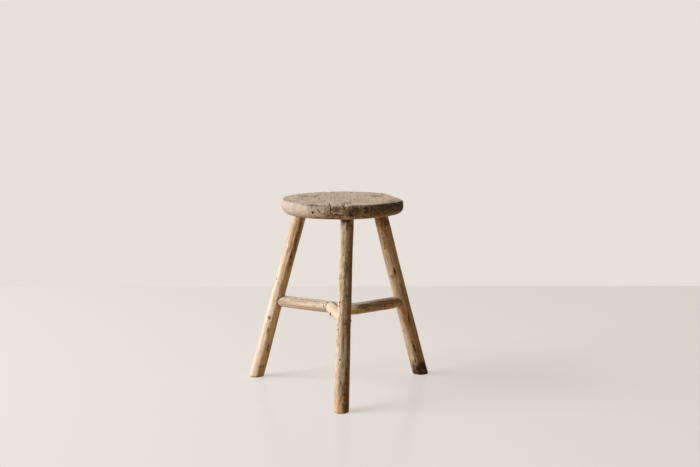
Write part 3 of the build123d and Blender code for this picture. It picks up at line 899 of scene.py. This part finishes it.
class Tree:
    """A material's node tree, with one short call per node."""

    def __init__(self, name):
        self.material = bpy.data.materials.new(name)
        self.material.use_nodes = True
        self.tree = self.material.node_tree
        self.tree.nodes.clear()

    def add(self, kind, inputs, output=0, **settings):
        node = self.tree.nodes.new(kind)
        for key, value in settings.items():
            setattr(node, key, value)
        for key, value in inputs.items():
            if isinstance(value, bpy.types.NodeSocket):
                self.tree.links.new(value, node.inputs[key])
            else:
                node.inputs[key].default_value = value
        return node.outputs[output]

    def add_output(self, surface):
        self.add_last("ShaderNodeOutputMaterial", surface)

    def add_last(self, kind, surface):
        node = self.tree.nodes.new(kind)
        self.tree.links.new(surface, node.inputs["Surface"])

    def math(self, operation, a, b=0.0):
        return self.add("ShaderNodeMath", {0: a, 1: b}, operation=operation)

    def scaled(self, vector, scale, shift=(0, 0, 0)):
        inputs = {0: vector, 1: scale, 2: shift}
        return self.add("ShaderNodeVectorMath", inputs, operation="MULTIPLY_ADD")

    def noise(self, vector, scale, shift, detail=3.0, roughness=0.55, distortion=0.0):
        place = self.scaled(vector, scale, shift)
        inputs = {"Vector": place, "Scale": 1.0, "Detail": detail, "Roughness": roughness, "Distortion": distortion}
        return self.add("ShaderNodeTexNoise", inputs)

    def ramp(self, value, low, high, to_low=0.0, to_high=1.0):
        inputs = {"Value": value, "From Min": low, "From Max": high, "To Min": to_low, "To Max": to_high}
        return self.add("ShaderNodeMapRange", inputs, interpolation_type="SMOOTHSTEP")

    def mix(self, factor, a, b, blend="MIX"):
        a, b = [value if isinstance(value, bpy.types.NodeSocket) else (*value, 1) for value in (a, b)]
        return self.add("ShaderNodeMix", {0: factor, 6: a, 7: b}, 2, data_type="RGBA", blend_type=blend)


WOODS = {
    "seat": {"light": (0.545, 0.43, 0.31), "dark": (0.225, 0.16, 0.10), "grey": (0.46, 0.385, 0.285), "seed": 3.1,
             "ring": 420, "pith": (0.03, -0.13, 0), "across": 0.65, "bump": 0.6, "streaky": 0.55, "mottle": 0.4,
             "flecked": 0.4},
    "leg_front": {"light": (0.50, 0.375, 0.24), "dark": (0.24, 0.16, 0.092), "grey": (0.46, 0.355, 0.24),
                  "seed": 11.7, "ring": 700, "pith": (0.004, -0.003, 0), "across": 1.0, "bump": 0.5, "streaky": 0.7,
                  "mottle": 0.7, "flecked": 0.75},
    "leg_left": {"light": (0.65, 0.515, 0.36), "dark": (0.43, 0.305, 0.18), "grey": (0.61, 0.515, 0.39),
                 "seed": 23.9, "ring": 650, "pith": (-0.003, 0.005, 0), "across": 1.0, "bump": 0.5, "streaky": 0.7,
                 "mottle": 0.4, "flecked": 0.5},
    "leg_right": {"light": (0.67, 0.52, 0.34), "dark": (0.39, 0.275, 0.16), "grey": (0.61, 0.50, 0.36),
                  "seed": 37.3, "ring": 600, "pith": (0.005, 0.002, 0), "across": 1.0, "bump": 0.55, "streaky": 0.8,
                  "mottle": 0.7, "flecked": 0.65},
    "stretcher": {"light": (0.585, 0.465, 0.335), "dark": (0.36, 0.26, 0.165), "grey": (0.54, 0.455, 0.355),
                  "seed": 51.1, "ring": 800, "pith": (0.002, 0.002, 0), "across": 1.0, "bump": 0.5, "streaky": 0.8,
                  "mottle": 0.4, "flecked": 0.5},
    "wedge": {"light": (0.34, 0.25, 0.165), "dark": (0.17, 0.115, 0.07), "grey": (0.31, 0.26, 0.21),
              "seed": 67.7, "ring": 900, "pith": (0.05, 0.02, 0), "across": 1.3, "bump": 0.4, "streaky": 1.0,
              "mottle": 0.4, "flecked": 0.3},
    "peg": {"light": (0.36, 0.255, 0.16), "dark": (0.18, 0.115, 0.065), "grey": (0.33, 0.27, 0.21),
            "seed": 83.3, "ring": 1200, "pith": (0.001, 0, 0), "across": 1.4, "bump": 0.4, "streaky": 1.0,
            "mottle": 0.4, "flecked": 0.3},
}
# The dark tint serves real stains and flecks, and also painted shade; the pale colour serves scraped wood and end
# grain, and also painted sheen and painted highlights
STAIN_AND_SHADE_TINT = (0.24, 0.15, 0.085)
WARM_COLOUR = (0.50, 0.26, 0.085)
FLECK_COLOUR = (0.62, 0.48, 0.31)
PALE_COLOUR = (0.54, 0.488, 0.43)
DIRT_TINT = (0.13, 0.08, 0.05)


def wood(name, light, dark, grey, seed, ring, pith, across, bump, streaky, mottle, flecked):
    """Old bare wood, grained along the third axis of the grain attribute, and aged by the paint attribute, whose dark
    and pale patches also hold painted shade, painted sheen and painted highlights.
    """
    tree = Tree(name + "_wood")
    grain = tree.add("ShaderNodeAttribute", {}, 1, attribute_name="grain")
    paint = tree.add("ShaderNodeAttribute", {}, 0, attribute_name="paint")
    dirt = tree.add("ShaderNodeAttribute", {}, 3, attribute_name="paint")
    shift = (seed, seed * 1.7, seed * 0.6)
    broad = tree.noise(grain, (34 * across, 34 * across, 11), shift, 3.0)
    streaks = tree.noise(grain, (190 * across, 190 * across, 9), shift, 4.0, 0.62, 0.6)
    fibres = tree.noise(grain, (1100 * across, 1100 * across, 24), shift, 4.0, 0.65)
    specks = tree.noise(grain, (1500, 1500, 260), shift, 3.0, 0.6)
    flecks = tree.noise(grain, (360, 360, 110), shift, 3.0, 0.7, 0.4)

    from_pith = tree.scaled(grain, (1, 1, 0), tuple(-value for value in pith))
    warp = tree.math("MULTIPLY", tree.noise(grain, (60, 60, 7), shift, 2.0), 0.012)
    distance = tree.add("ShaderNodeVectorMath", {0: from_pith}, 1, operation="LENGTH")
    turns = tree.math("MULTIPLY", tree.math("ADD", distance, warp), ring * 2 * math.pi)
    rings = tree.math("SINE", turns)

    half = 0.5 * streaky
    tone = tree.math("ADD", tree.ramp(streaks, 0.34, 0.66, 0.6 - half, 0.6 + half), tree.math("MULTIPLY", rings, 0.12 * streaky))
    colour = tree.mix(tone, dark, light)
    clouds = tree.noise(grain, (130, 130, 42), shift, 5.0, 0.65, 0.8)
    colour = tree.mix(tree.ramp(clouds, 0.44, 0.60, 0.0, mottle), colour, dark)
    colour = tree.mix(tree.ramp(clouds, 0.44, 0.32, 0.0, mottle * 0.5), colour, FLECK_COLOUR)
    colour = tree.mix(tree.ramp(broad, 0.42, 0.68, 0.0, 0.75), colour, grey)
    shade = tree.ramp(fibres, 0.30, 0.66, 0.78, 1.10)
    shade = tree.math("MULTIPLY", shade, tree.ramp(specks, 0.28, 0.42, 0.40, 1.0))
    grey_shade = tree.add("ShaderNodeCombineColor", {0: shade, 1: shade, 2: shade})
    colour = tree.mix(1.0, colour, grey_shade, "MULTIPLY")

    colour = tree.mix(tree.ramp(flecks, 0.46, 0.34, 0.0, flecked), colour, STAIN_AND_SHADE_TINT, "MULTIPLY")
    colour = tree.mix(tree.ramp(flecks, 0.56, 0.68, 0.0, flecked * 0.7), colour, FLECK_COLOUR)

    masks = tree.add("ShaderNodeSeparateColor", {0: paint})
    masks = masks.node.outputs
    broken = tree.ramp(flecks, 0.40, 0.60, 1.0, 0.55)
    colour = tree.mix(tree.math("MULTIPLY", masks[1], tree.ramp(flecks, 0.35, 0.60, 0.4, 1.0)), colour, WARM_COLOUR)
    # The dark and pale patches carry real stains and scrapes, and in places painted shade, painted sheen and painted
    # highlights
    colour = tree.mix(tree.math("MULTIPLY", masks[0], broken), colour, STAIN_AND_SHADE_TINT, "MULTIPLY")
    colour = tree.mix(tree.math("MULTIPLY", masks[2], 0.8), colour, PALE_COLOUR)
    colour = tree.mix(dirt, colour, DIRT_TINT, "MULTIPLY")

    roughness = tree.ramp(fibres, 0.3, 0.7, 0.78, 0.58)
    height = tree.math("ADD", tree.math("MULTIPLY", fibres, 0.6), tree.math("MULTIPLY", streaks, 0.5))
    height = tree.math("ADD", height, tree.ramp(specks, 0.22, 0.42, -0.5, 0.0))
    normal = tree.add("ShaderNodeBump", {"Strength": bump, "Distance": 1.0 * MM, "Height": height})
    inputs = {"Base Color": colour, "Roughness": roughness, "Specular IOR Level": 0.2, "Normal": normal}
    surface = tree.add("ShaderNodeBsdfPrincipled", inputs)
    tree.add_output(surface)
    return tree.material


def stage_material(name, colour, steady, glow):
    """A plain pale surface, which bounces less light than it shows and is clear from behind."""
    tree = Tree(name)
    glowing = [value * share for value, share in zip(colour, glow)]
    shown = tree.add("ShaderNodeMixShader", {
        0: steady,
        1: tree.add("ShaderNodeBsdfDiffuse", {"Color": (*colour, 1)}),
        2: tree.add("ShaderNodeEmission", {"Color": (*glowing, 1)}),
    })
    if steady < 1:
        gloss = tree.add("ShaderNodeBsdfGlossy", {"Color": (1, 1, 1, 1), "Roughness": FLOOR_ROUGHNESS})
        shown = tree.add("ShaderNodeMixShader", {0: FLOOR_GLOSS, 1: shown, 2: gloss})
    bounced = tree.add("ShaderNodeBsdfDiffuse", {"Color": (*BOUNCE, 1)})
    camera_ray = tree.add("ShaderNodeLightPath", {}, 0)
    glossy_ray = tree.add("ShaderNodeLightPath", {}, 3)
    seen = tree.math("MAXIMUM", camera_ray, glossy_ray)
    surface = tree.add("ShaderNodeMixShader", {0: seen, 1: bounced, 2: shown})
    behind = tree.add("ShaderNodeNewGeometry", {}, 6)
    clear = tree.add("ShaderNodeBsdfTransparent", {})
    surface = tree.add("ShaderNodeMixShader", {0: tree.math("MULTIPLY", behind, camera_ray), 1: surface, 2: clear})
    tree.add_output(surface)
    return tree.material


# ---------------------------------------------------------------- the stool

# Cracks of the stretchers: width, depth in mm, and the (distance, angle) places that each runs through.
# Distances on the branch run from the left leg's axis, and those on the rod from the branch's axis.
BRANCH_CRACKS = [
    (0.9, 2.5, [(0.1457, 12), (0.1440, 60), (0.1490, 110), (0.1512, 135)]),
    (0.7, 4, [(0.122, 94), (0.134, 101), (0.146, 109)]),
    (0.6, 3, [(0.152, 34), (0.170, 38)]),
    (0.6, 4, [(0.050, 230), (0.110, 236)]),
    (0.6, 4, [(0.290, 250), (0.350, 244)]),
]
ROD_CRACKS = [(0.6, 4, [(0.045, 30), (0.095, 36)]), (0.5, 3, [(0.070, 190), (0.120, 184)])]
BRANCH_PITS = [(0.060, 20, 0.8 * MM), (0.245, 106, 1.0 * MM), (0.310, 95, 0.7 * MM), (0.270, 210, 0.9 * MM)]
ROD_PITS = [(0.073, 103, 2.2 * MM), (0.060, 96, 1.2 * MM), (0.080, 95, 0.8 * MM), (0.110, 250, 0.7 * MM)]
BRANCH_KNOTS = [(0.234, 100, 6 * MM, 0.9 * MM), (0.165, 150, 7 * MM, 0.8 * MM), (0.080, 260, 6 * MM, 0.8 * MM)]
ROD_KNOTS = [(0.062, 112, 12 * MM, 3.2 * MM)]
# Patches on the stretchers: paint, distance, angle, half their length and width in mm, strength
BRANCH_PATCHES = [
    (STAIN_AND_SHADE, 0.160, 36, 12, 3, 0.7), (STAIN_AND_SHADE, 0.236, 62, 20, 7, 0.9), (STAIN_AND_SHADE, 0.254, 106, 6, 4, 0.9), (DIRT, 0.254, 106, 3.5, 2.5, 0.5), (PALE, 0.238, 106, 5, 3.5, 0.6),
    (STAIN_AND_SHADE, 0.310, 100, 4, 3, 0.8), (STAIN_AND_SHADE, 0.341, 93, 4, 3, 0.8), (STAIN_AND_SHADE, 0.359, 103, 4, 3, 0.8),
    # Painted light: the long pale patch at 0.095, 122 is painted light on the lower side of the branch, and the long
    # dark patch at 0.090, 45 is painted shade on its upper side
    (PALE, 0.365, 96, 6, 4, 0.8), (PALE, 0.095, 122, 80, 9, 0.5), (STAIN_AND_SHADE, 0.090, 45, 80, 5, 0.4),
    (STAIN_AND_SHADE, 0.030, 85, 20, 5, 0.3), (STAIN_AND_SHADE, 0.300, 90, 64, 12, 0.42), (WARM, 0.300, 118, 60, 4, 0.5),
    (PALE, 0.165, 95, 12, 8, 0.6), (STAIN_AND_SHADE, 0.118, 92, 5, 3, 0.6),
]
ROD_PATCHES = [(DIRT, 0.074, 103, 8, 3, 0.95), (DIRT, 0.060, 95, 5, 2, 0.7),
               (STAIN_AND_SHADE, 0.030, 150, 16, 6, 0.5), (PALE, 0.035, 80, 26, 9, 0.7)]


def nose(bar, starts, depths):
    """Rounds a bar's ends down where they reach their neighbours, at a distance from each end."""
    plain = bar.radius

    def rounded(along, angle):
        at_start = smooth(9 * MM, -2 * MM, along - starts[0])
        at_end = smooth(9 * MM, -2 * MM, bar.length - starts[1] - along)
        return plain(along, angle) - depths[0] * at_start**2 - depths[1] * at_end**2

    bar.radius = rounded


def plain_bar(name, start, end, radius):
    return joined(name, [round_bar(start, end, radius)])


def bar_cuts(bar, cracks, pits):
    """The cutters for a stretcher's cracks and its worm holes."""
    blades = []
    for k, (width, depth, places) in enumerate(cracks):
        along, angle = np.array(places, float).T
        blades.append(crack_blade(bar.at(along, angle), bar.outward(along, angle), width * MM, depth * MM,
                                  bar.seed + k))
    holes = []
    for k, (along, angle, radius) in enumerate(pits):
        point = bar.at(np.array([along]), np.array([angle]))[0]
        holes.append(pit(point, bar.outward(along, angle), radius, 4 * MM, bar.seed + k))
    return [joined("cracks", blades), joined("pits", holes)]


def swollen(piece, gap):
    """A copy of a piece that is a little fatter, to cut its neighbour back with."""
    copy = copy_of(piece)
    push_out(copy, np.full(len(copy.data.vertices), gap))
    return copy


def seat_relief(piece, legs):
    """Weathers the seat: ridges along its grain, a slight dish, and hollows, all fading out at the tenons."""
    points = points_of(piece)
    normals = normals_of(piece)
    local = points - SEAT_CENTRE
    top = smooth(0.5, 0.95, normals[:, 2])
    side = 1 - smooth(0.2, 0.8, np.abs(normals[:, 2]))
    end_grain = side * np.abs(normals[:, 1])
    from_centre = np.hypot(local[:, 0], local[:, 1])
    free = np.ones(len(points))
    for leg in legs.values():
        away = distance_to(points, leg.foot, leg.top)
        free *= smooth(leg.tenon_r + 1 * MM, leg.tenon_r + 9 * MM, away)
    ridges = 0.22 * MM * rough(local / [0.005, 0.07, 0.010], 71)
    hollows = 0.45 * MM * noise(local / [0.035, 0.050, 0.035], 75)
    dish = -1.1 * MM * smooth(0.125, 0, from_centre) * top
    tool = 0.45 * MM * noise(local / [0.009, 0.009, 0.040], 77) * side
    checks = 0.50 * MM * rough(local / [0.0035, 0.012, 0.011], 79) * end_grain
    dents = np.zeros(len(points))
    azimuth = np.degrees(np.arctan2(local[:, 1], local[:, 0]))
    for facing, depth, half_wide, half_deep, deep in SEAT_DENTS:
        beside = np.radians(turn_between(azimuth, facing)) * 148 / half_wide
        distance = np.hypot(beside, (local[:, 2] / MM + depth) / half_deep) + 0.3 * rough(local / 0.004, 88)
        dents -= deep * MM * smooth(1.3, 0.2, distance) * smooth(0.125, 0.135, from_centre)
    push_out(piece, (ridges + hollows + dish + tool + checks) * free + dents)


def main():
    legs = {name: Leg(name) for name in LEGS}

    # The places that the stretchers run between
    ends = {name: legs[name].foot + legs[name].up * (height / legs[name].up[2])
            for name, height in {**BRANCH_HEIGHTS, "front": ROD_FRONT_HEIGHT}.items()}
    root = ends["left"] + (BRANCH_CORNER - ends["left"]) * ROD_ROOT_SHARE
    branch = Bar([ends["left"], BRANCH_CORNER, ends["right"]], BRANCH_BEND_R, (BRANCH_R, BRANCH_R), 61, BRANCH_KNOTS)
    rod = Bar([root, ends["front"]], 0, (ROD_R + 0.6 * MM, ROD_R - 0.2 * MM), 83, ROD_KNOTS)
    nose(branch, (13 * MM, 26 * MM), (0.8 * MM, 3.6 * MM))
    nose(rod, (14 * MM, 16.5 * MM), (0, 1.6 * MM))
    joints = {"left": (ends["left"], BRANCH_CORNER), "right": (ends["right"], BRANCH_CORNER),
              "front": (ends["front"], root), "centre": (root, ends["front"])}
    tenon_ends = {}
    for joint, (target, source) in joints.items():
        way = unit(target - source)
        tenon_ends[joint] = (target - way * 29 * MM, target + way * TENON_PAST_AXIS, way)

    # Where the pegs go: from behind through each leg, and from below through the branch
    pegs = {}
    for joint, (target, source) in joints.items():
        if joint == "centre":
            axis, outer = np.array([0, 0, -1.0]), BRANCH_R
        else:
            axis = unit(np.cross(legs[joint].up, target - source))
            axis = axis if axis[1] > 0 else -axis
            share = ends[joint][2] / SEAT_UNDERSIDE
            look = LEGS[joint]
            outer = look["foot_r"] + (look["top_r"] - look["foot_r"]) * share
        inner = target - axis * (STRETCHER_TENON_R + PEG_PAST_TENON)
        pegs[joint] = (inner, axis, STRETCHER_TENON_R + PEG_PAST_TENON + outer)

    def peg_cutter(joint):
        inner, axis, length = pegs[joint]
        return plain_bar("peg_hole", inner - axis * GAP, inner + axis * (length + 8 * MM), PEG_R)

    def mortise_cutter(joint):
        start, end, way = tenon_ends[joint]
        return plain_bar("mortise", start - way * 10 * MM, end + way * GAP, STRETCHER_TENON_R)

    def tenon_bar(joint):
        start, end, _ = tenon_ends[joint]
        return plain_bar("tenon", start, end, STRETCHER_TENON_R - GAP)

    made = {}
    for name, leg in legs.items():
        made[f"leg_{name}"] = leg_blank(f"leg_{name}", leg)
    made["cross_stretcher"] = branch.mesh("cross_stretcher")
    made["front_stretcher"] = rod.mesh("front_stretcher")

    # The stretchers are coped to what they meet before anything is bored
    neighbours = {"cross_stretcher": ["leg_left", "leg_right"], "front_stretcher": ["leg_front", "cross_stretcher"]}
    copes = {node: [swollen(made[other], 0.35 * MM) for other in others] for node, others in neighbours.items()}
    for node, cutters in copes.items():
        combine(made[node], cutters, "DIFFERENCE")
    for node, held in {"cross_stretcher": ["left", "right"], "front_stretcher": ["front", "centre"]}.items():
        combine(made[node], [tenon_bar(joint) for joint in held], "UNION")
    combine(made["cross_stretcher"], [mortise_cutter("centre")], "DIFFERENCE")
    for node, held in {"cross_stretcher": ["left", "right", "centre"], "front_stretcher": ["front", "centre"]}.items():
        combine(made[node], [peg_cutter(joint) for joint in held], "DIFFERENCE")
    combine(made["cross_stretcher"], bar_cuts(branch, BRANCH_CRACKS, BRANCH_PITS), "DIFFERENCE")
    combine(made["front_stretcher"], bar_cuts(rod, ROD_CRACKS, ROD_PITS), "DIFFERENCE")

    for name, leg in legs.items():
        cutters = [mortise_cutter(name), peg_cutter(name), kerf(leg, 0, 5 * MM, 3 * MM)]
        combine(made[f"leg_{name}"], cutters + [leg_cracks(name, leg), leg_pits(name, leg)], "DIFFERENCE")
        made[f"wedge_{name}"] = wedge(f"wedge_{name}", leg)
    for joint, (inner, axis, length) in pegs.items():
        made[f"peg_{joint}"] = peg(f"peg_{joint}", inner + axis * 0.1 * MM, axis, length + PEG_PROUD)

    seat = seat_blank()
    seat_relief(seat, legs)
    for leg in legs.values():
        tube = leg_tube(leg, SEAT_UNDERSIDE - 8 * MM, SEAT_TOP + 8 * MM, leg.tenon_r + GAP)
        combine(seat, [tube], "DIFFERENCE")
    for k, (width, depth, rim, tops, sides) in enumerate(SEAT_CRACKS):
        path, outward = zip(*crack_places(rim, tops, sides))
        blade = crack_blade(path, outward, width * MM, depth * MM, 90 + k)
        combine(seat, [joined("crack", [blade])], "DIFFERENCE")
    holes = [pit(place[0], place[1], radius, depth, 130 + k)
             for k, (place, radius, depth) in enumerate(seat_pits())]
    combine(seat, [joined("pits", holes)], "DIFFERENCE")
    made["seat"] = seat

    materials = {name: wood(name, **look) for name, look in WOODS.items()}
    for name, leg in legs.items():
        piece = made[f"leg_{name}"]
        points = points_of(piece)
        grain = leg.grain(points)
        angle = np.degrees(np.arctan2(grain[:, 1], grain[:, 0]))
        radius = np.hypot(grain[:, 0], grain[:, 1])
        paint = patches(points[:, 2], angle, radius, LEG_PATCHES[name], leg.look["seed"])
        end_r = {"left": BRANCH_R - 0.6 * MM, "right": BRANCH_R - 3.4 * MM, "front": ROD_R}[name]
        dirt = {"left": 0.5, "right": 0.7, "front": 0.8}[name] * seam(points, *joints[name], end_r, 1.6 * MM)
        dirt = np.maximum(dirt, 0.6 * smooth(SEAT_UNDERSIDE - 6 * MM, SEAT_UNDERSIDE, points[:, 2]))
        dirt = np.maximum(dirt, 0.5 * smooth(5 * MM, 0, points[:, 2]))
        holes = [leg.at(height, turn) for height, turn, _ in LEG_PITS[name]]
        dirt = np.maximum(dirt, dirty_holes(points, holes, 1.4 * MM))
        paint[:, DIRT] = np.maximum(paint[:, DIRT], dirt)
        paint[:, PALE] = np.maximum(paint[:, PALE], 0.75 * (points[:, 2] > SEAT_TOP - 1.0 * MM))
        finish_piece(piece, f"leg_{name}", materials[f"leg_{name}"], grain, paint)

        piece = made[f"wedge_{name}"]
        points = points_of(piece)
        paint = np.zeros((len(points), 4))
        paint[:, PALE] = 0.4
        finish_piece(piece, f"wedge_{name}", materials["wedge"], leg.grain(points), paint)

    bars = (("cross_stretcher", branch, BRANCH_PATCHES, BRANCH_PITS), ("front_stretcher", rod, ROD_PATCHES, ROD_PITS))
    for node, bar, marks, pits in bars:
        piece = made[node]
        points = points_of(piece)
        grain = bar.grain(points)
        angle = np.degrees(np.arctan2(grain[:, 1], grain[:, 0]))
        paint = patches(grain[:, 2], angle, np.hypot(grain[:, 0], grain[:, 1]), marks, bar.seed)
        holes = [bar.at(along, turn) for along, turn, _ in pits]
        dirt = dirty_holes(points, holes, 1.6 * MM)
        for name in {"cross_stretcher": ["left", "right"], "front_stretcher": ["front"]}[node]:
            away = distance_to(points, legs[name].foot, legs[name].top)
            dirt = np.maximum(dirt, 0.6 * smooth(20 * MM, 16.5 * MM, away))
        if node == "front_stretcher":
            away = distance_to(points, *joints["left"])
            dirt = np.maximum(dirt, 0.5 * smooth(18 * MM, 14 * MM, away))
        else:
            near_rod = seam(points, *joints["centre"], ROD_R, 1.8 * MM)
            dirt = np.maximum(dirt, 0.5 * near_rod * smooth(0.030, 0.020, np.linalg.norm(points - root, axis=1)))
        paint[:, DIRT] = np.maximum(paint[:, DIRT], dirt)
        finish_piece(piece, node, materials["stretcher"], grain, paint)

    for joint, (inner, axis, _) in pegs.items():
        piece = made[f"peg_{joint}"]
        points = points_of(piece)
        first, second = square_to(axis, np.array([0.1, 0.2, 1.0]))
        off = points - inner
        grain = np.stack([off @ first, off @ second, off @ axis], 1)
        finish_piece(piece, f"peg_{joint}", materials["peg"], grain, np.zeros((len(points), 4)))

    points = points_of(seat)
    local = points - SEAT_CENTRE
    grain = np.stack([local[:, 0], local[:, 2], local[:, 1]], 1)
    paint = seat_paint(points)
    for leg in legs.values():
        away = distance_to(points, leg.foot, leg.top)
        paint[:, DIRT] = np.maximum(paint[:, DIRT], 0.45 * smooth(leg.tenon_r + 2.0 * MM, leg.tenon_r, away))
    holes = dirty_holes(points, [place[0] for place, _, _ in seat_pits()], 1.8 * MM)
    paint[:, DIRT] = np.maximum(paint[:, DIRT], holes)
    finish_piece(seat, "seat", materials["seat"], grain, paint)


# The stage: one plain pale colour, and the warmer colour that its surfaces bounce onto the stool
STAGE_COLOUR = (0.80, 0.75, 0.70)
BOUNCE = (0.58, 0.39, 0.205)
FLOOR_GLOSS = 0.06
FLOOR_ROUGHNESS = 0.22
FLOOR_STEADY = 0.66  # how much of the floor's shown brightness no shadow reaches
FLOOR_LIT = (1.30, 1.20, 1.12)  # how brightly the lamp shows a white floor
WALL_Y = SEAT_CENTRE[1] + 1.4
STAGE_REACH = 9.0
WALL_HEIGHT = 6.0
LAMP_TURN, LAMP_TIP, LAMP_AWAY = 194, 30, 6.0
LAMP_SIZE = (4.4, 4.8)
LAMP_POWER = 765
WORLD_COLOUR = (1.0, 0.70, 0.40)
WORLD_STRENGTH = 0.08


def build_stage():
    """The floor, the wall, the light and the camera."""
    left, right, near = -STAGE_REACH, STAGE_REACH, -STAGE_REACH
    floor = new_object(
        "floor", [(left, near, 0), (right, near, 0), (right, WALL_Y, 0), (left, WALL_Y, 0)], [[0, 1, 2, 3]])
    wall = new_object(
        "wall",
        [(left, WALL_Y, 0), (right, WALL_Y, 0), (right, WALL_Y, WALL_HEIGHT), (left, WALL_Y, WALL_HEIGHT)],
        [[0, 1, 2, 3]])
    floor_colour = [value / lit for value, lit in zip(STAGE_COLOUR, FLOOR_LIT)]
    floor.data.materials.append(stage_material("floor_paint", floor_colour, FLOOR_STEADY, FLOOR_LIT))
    wall.data.materials.append(stage_material("wall_paint", STAGE_COLOUR, 1.0, (1, 1, 1)))

    world = bpy.data.worlds.new("room")
    world.use_nodes = True
    nodes, links = world.node_tree.nodes, world.node_tree.links
    lighting = nodes["Background"]
    lighting.inputs["Color"].default_value = (*WORLD_COLOUR, 1)
    lighting.inputs["Strength"].default_value = WORLD_STRENGTH
    backdrop = nodes.new("ShaderNodeBackground")
    backdrop.inputs["Color"].default_value = (*STAGE_COLOUR, 1)
    rays = nodes.new("ShaderNodeLightPath")
    either = nodes.new("ShaderNodeMixShader")
    links.new(rays.outputs["Is Camera Ray"], either.inputs[0])
    links.new(lighting.outputs[0], either.inputs[1])
    links.new(backdrop.outputs[0], either.inputs[2])
    links.new(either.outputs[0], nodes["World Output"].inputs["Surface"])
    bpy.context.scene.world = world

    centre = Vector((SEAT_CENTRE[0], SEAT_CENTRE[1], 0.25))
    turn, tip = math.radians(LAMP_TURN), math.radians(LAMP_TIP)
    way = Vector((math.cos(turn) * math.cos(tip), math.sin(turn) * math.cos(tip), math.sin(tip)))
    lamp = bpy.data.lights.new("window", "AREA")
    lamp.shape = "RECTANGLE"
    lamp.size, lamp.size_y = LAMP_SIZE
    lamp.energy = LAMP_POWER
    lamp.color = (0.96, 0.985, 1.03)
    holder = bpy.data.objects.new("window", lamp)
    holder.location = centre + way * LAMP_AWAY
    holder.rotation_euler = way.to_track_quat("Z", "Y").to_euler()
    bpy.context.collection.objects.link(holder)

    camera = bpy.data.cameras.new("camera")
    camera.sensor_width = 36
    camera.lens = 75.25
    eye = bpy.data.objects.new("camera", camera)
    eye.location = (SEAT_CENTRE[0], SEAT_CENTRE[1] - 3.570, 0.9008)
    eye.rotation_euler = (math.radians(90 - 8.205), 0, math.radians(-0.31))
    bpy.context.collection.objects.link(eye)
    bpy.context.scene.camera = eye
    bpy.context.scene.view_settings.view_transform = "Standard"


main()
build_stage()
